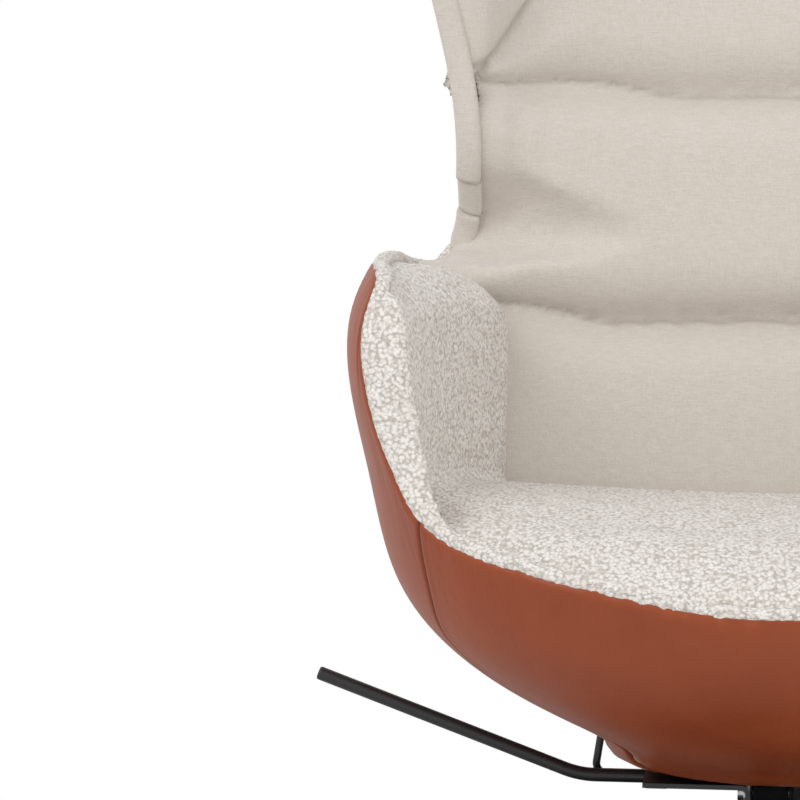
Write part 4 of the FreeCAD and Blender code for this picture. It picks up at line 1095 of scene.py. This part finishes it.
def make_camera(stage):
    data = bpy.data.cameras.new("camera")
    data.lens, data.sensor_width = stage.lens, 36
    camera = bpy.data.objects.new("camera", data)
    camera.location = stage.eye
    camera.rotation_euler = Vector(stage.look).to_track_quat("-Z", "Y").to_euler()
    bpy.context.scene.collection.objects.link(camera)
    bpy.context.scene.camera = camera


def shown_directly(tree):
    """1 for rays from the camera and for those that a mirror or glass passes on."""
    path = add_node(tree, "ShaderNodeLightPath")
    seen = maths(tree, "ADD", path.outputs["Is Camera Ray"], path.outputs["Is Glossy Ray"])
    return maths(tree, "MINIMUM", maths(tree, "ADD", seen, path.outputs["Is Transmission Ray"]), 1.0)


def make_floor(stage):
    """Pale floor: it takes shadow near the foot and fades to plain white further out."""
    half = 30.0
    low = float(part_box("floor_pad")[0].z)
    side = np.array([-half, half])
    corners = np.stack(np.meshgrid(side, side), axis=-1).reshape(-1, 2)
    points = np.concatenate([corners, np.full((4, 1), low)], axis=1)
    floor = build_mesh("floor", points, np.array([[0, 1, 3, 2]]), smooth=False)
    material, tree, shader = new_material("pale_floor", (0.80, 0.80, 0.80), 0.9)
    place = add_node(tree, "ShaderNodeVectorMath", {0: place_of(tree)}, operation="LENGTH").outputs["Value"]
    shader.inputs["Specular IOR Level"].default_value = 0.1
    far = remap(tree, place, stage.near_floor, stage.far_floor)
    white = add_node(tree, "ShaderNodeEmission", {"Color": (1, 1, 1, 1), "Strength": 1.0})
    mix = add_node(tree, "ShaderNodeMixShader", {0: maths(tree, "MULTIPLY", shown_directly(tree), far),
                                                 1: shader.outputs[0], 2: white.outputs[0]})
    tree.links.new(mix.outputs[0], tree.nodes["Material Output"].inputs["Surface"])
    floor.data.materials.append(material)


def make_light(stage):
    """White surroundings and two large soft lamps: one high in front, one low on the right."""
    world = bpy.data.worlds.new("studio")
    world.use_nodes = True
    tree = world.node_tree
    room = add_node(tree, "ShaderNodeBackground", {"Color": (1, 1, 1, 1), "Strength": stage.room_light})
    white = add_node(tree, "ShaderNodeBackground", {"Color": (1, 1, 1, 1), "Strength": 1.0})
    parts = {0: shown_directly(tree), 1: room.outputs[0], 2: white.outputs[0]}
    mix = add_node(tree, "ShaderNodeMixShader", parts)
    tree.links.new(mix.outputs[0], tree.nodes["World Output"].inputs["Surface"])
    bpy.context.scene.world = world
    bpy.context.scene.view_settings.view_transform = "Standard"
    lamps = (("key_lamp", stage.key_light, (-1.7, -2.2, 2.6), 2.2),
             ("fill_lamp", stage.fill_light, (2.2, -1.6, 1.5), 1.8))
    aim = Vector((0, 0, 0.55))
    for name, power, place, size in lamps:
        data = bpy.data.lights.new(name, "AREA")
        data.energy, data.size = power, size
        lamp = bpy.data.objects.new(name, data)
        lamp.location = place
        lamp.rotation_euler = (aim - Vector(place)).to_track_quat("-Z", "Y").to_euler()
        bpy.context.scene.collection.objects.link(lamp)


class ROCKER_PT_panel(Panel):
    """Lists the rocker's pieces"""
    bl_idname = "ROCKER_PT_panel"
    bl_label = "Swivel Rocker"
    bl_space_type = "VIEW_3D"
    bl_region_type = "UI"
    bl_category = "Rocker"

    def draw(self, context):
        for group in SETTINGS:
            box = self.layout.box()
            values = getattr(context.scene, group)
            for key in values.__annotations__:
                box.prop(values, key)
        for operator in OPERATORS:
            self.layout.operator(operator.bl_idname)


OPERATORS = (ROCKER_OT_stage, ROCKER_OT_frame, ROCKER_OT_leather, ROCKER_OT_seat, ROCKER_OT_back)
CLASSES = (*SETTINGS.values(), *OPERATORS, ROCKER_PT_panel)


def register():
    for kind in CLASSES:
        bpy.utils.register_class(kind)
    for name, kind in SETTINGS.items():
        setattr(bpy.types.Scene, name, PointerProperty(type=kind))


def unregister():
    for name in SETTINGS:
        delattr(bpy.types.Scene, name)
    for kind in reversed(CLASSES):
        bpy.utils.unregister_class(kind)


def main():
    register()
    bpy.ops.rocker.stage()
    bpy.ops.rocker.frame()
    bpy.ops.rocker.leather()
    bpy.ops.rocker.seat()
    bpy.ops.rocker.back()


if __name__ == "__main__":
    main()
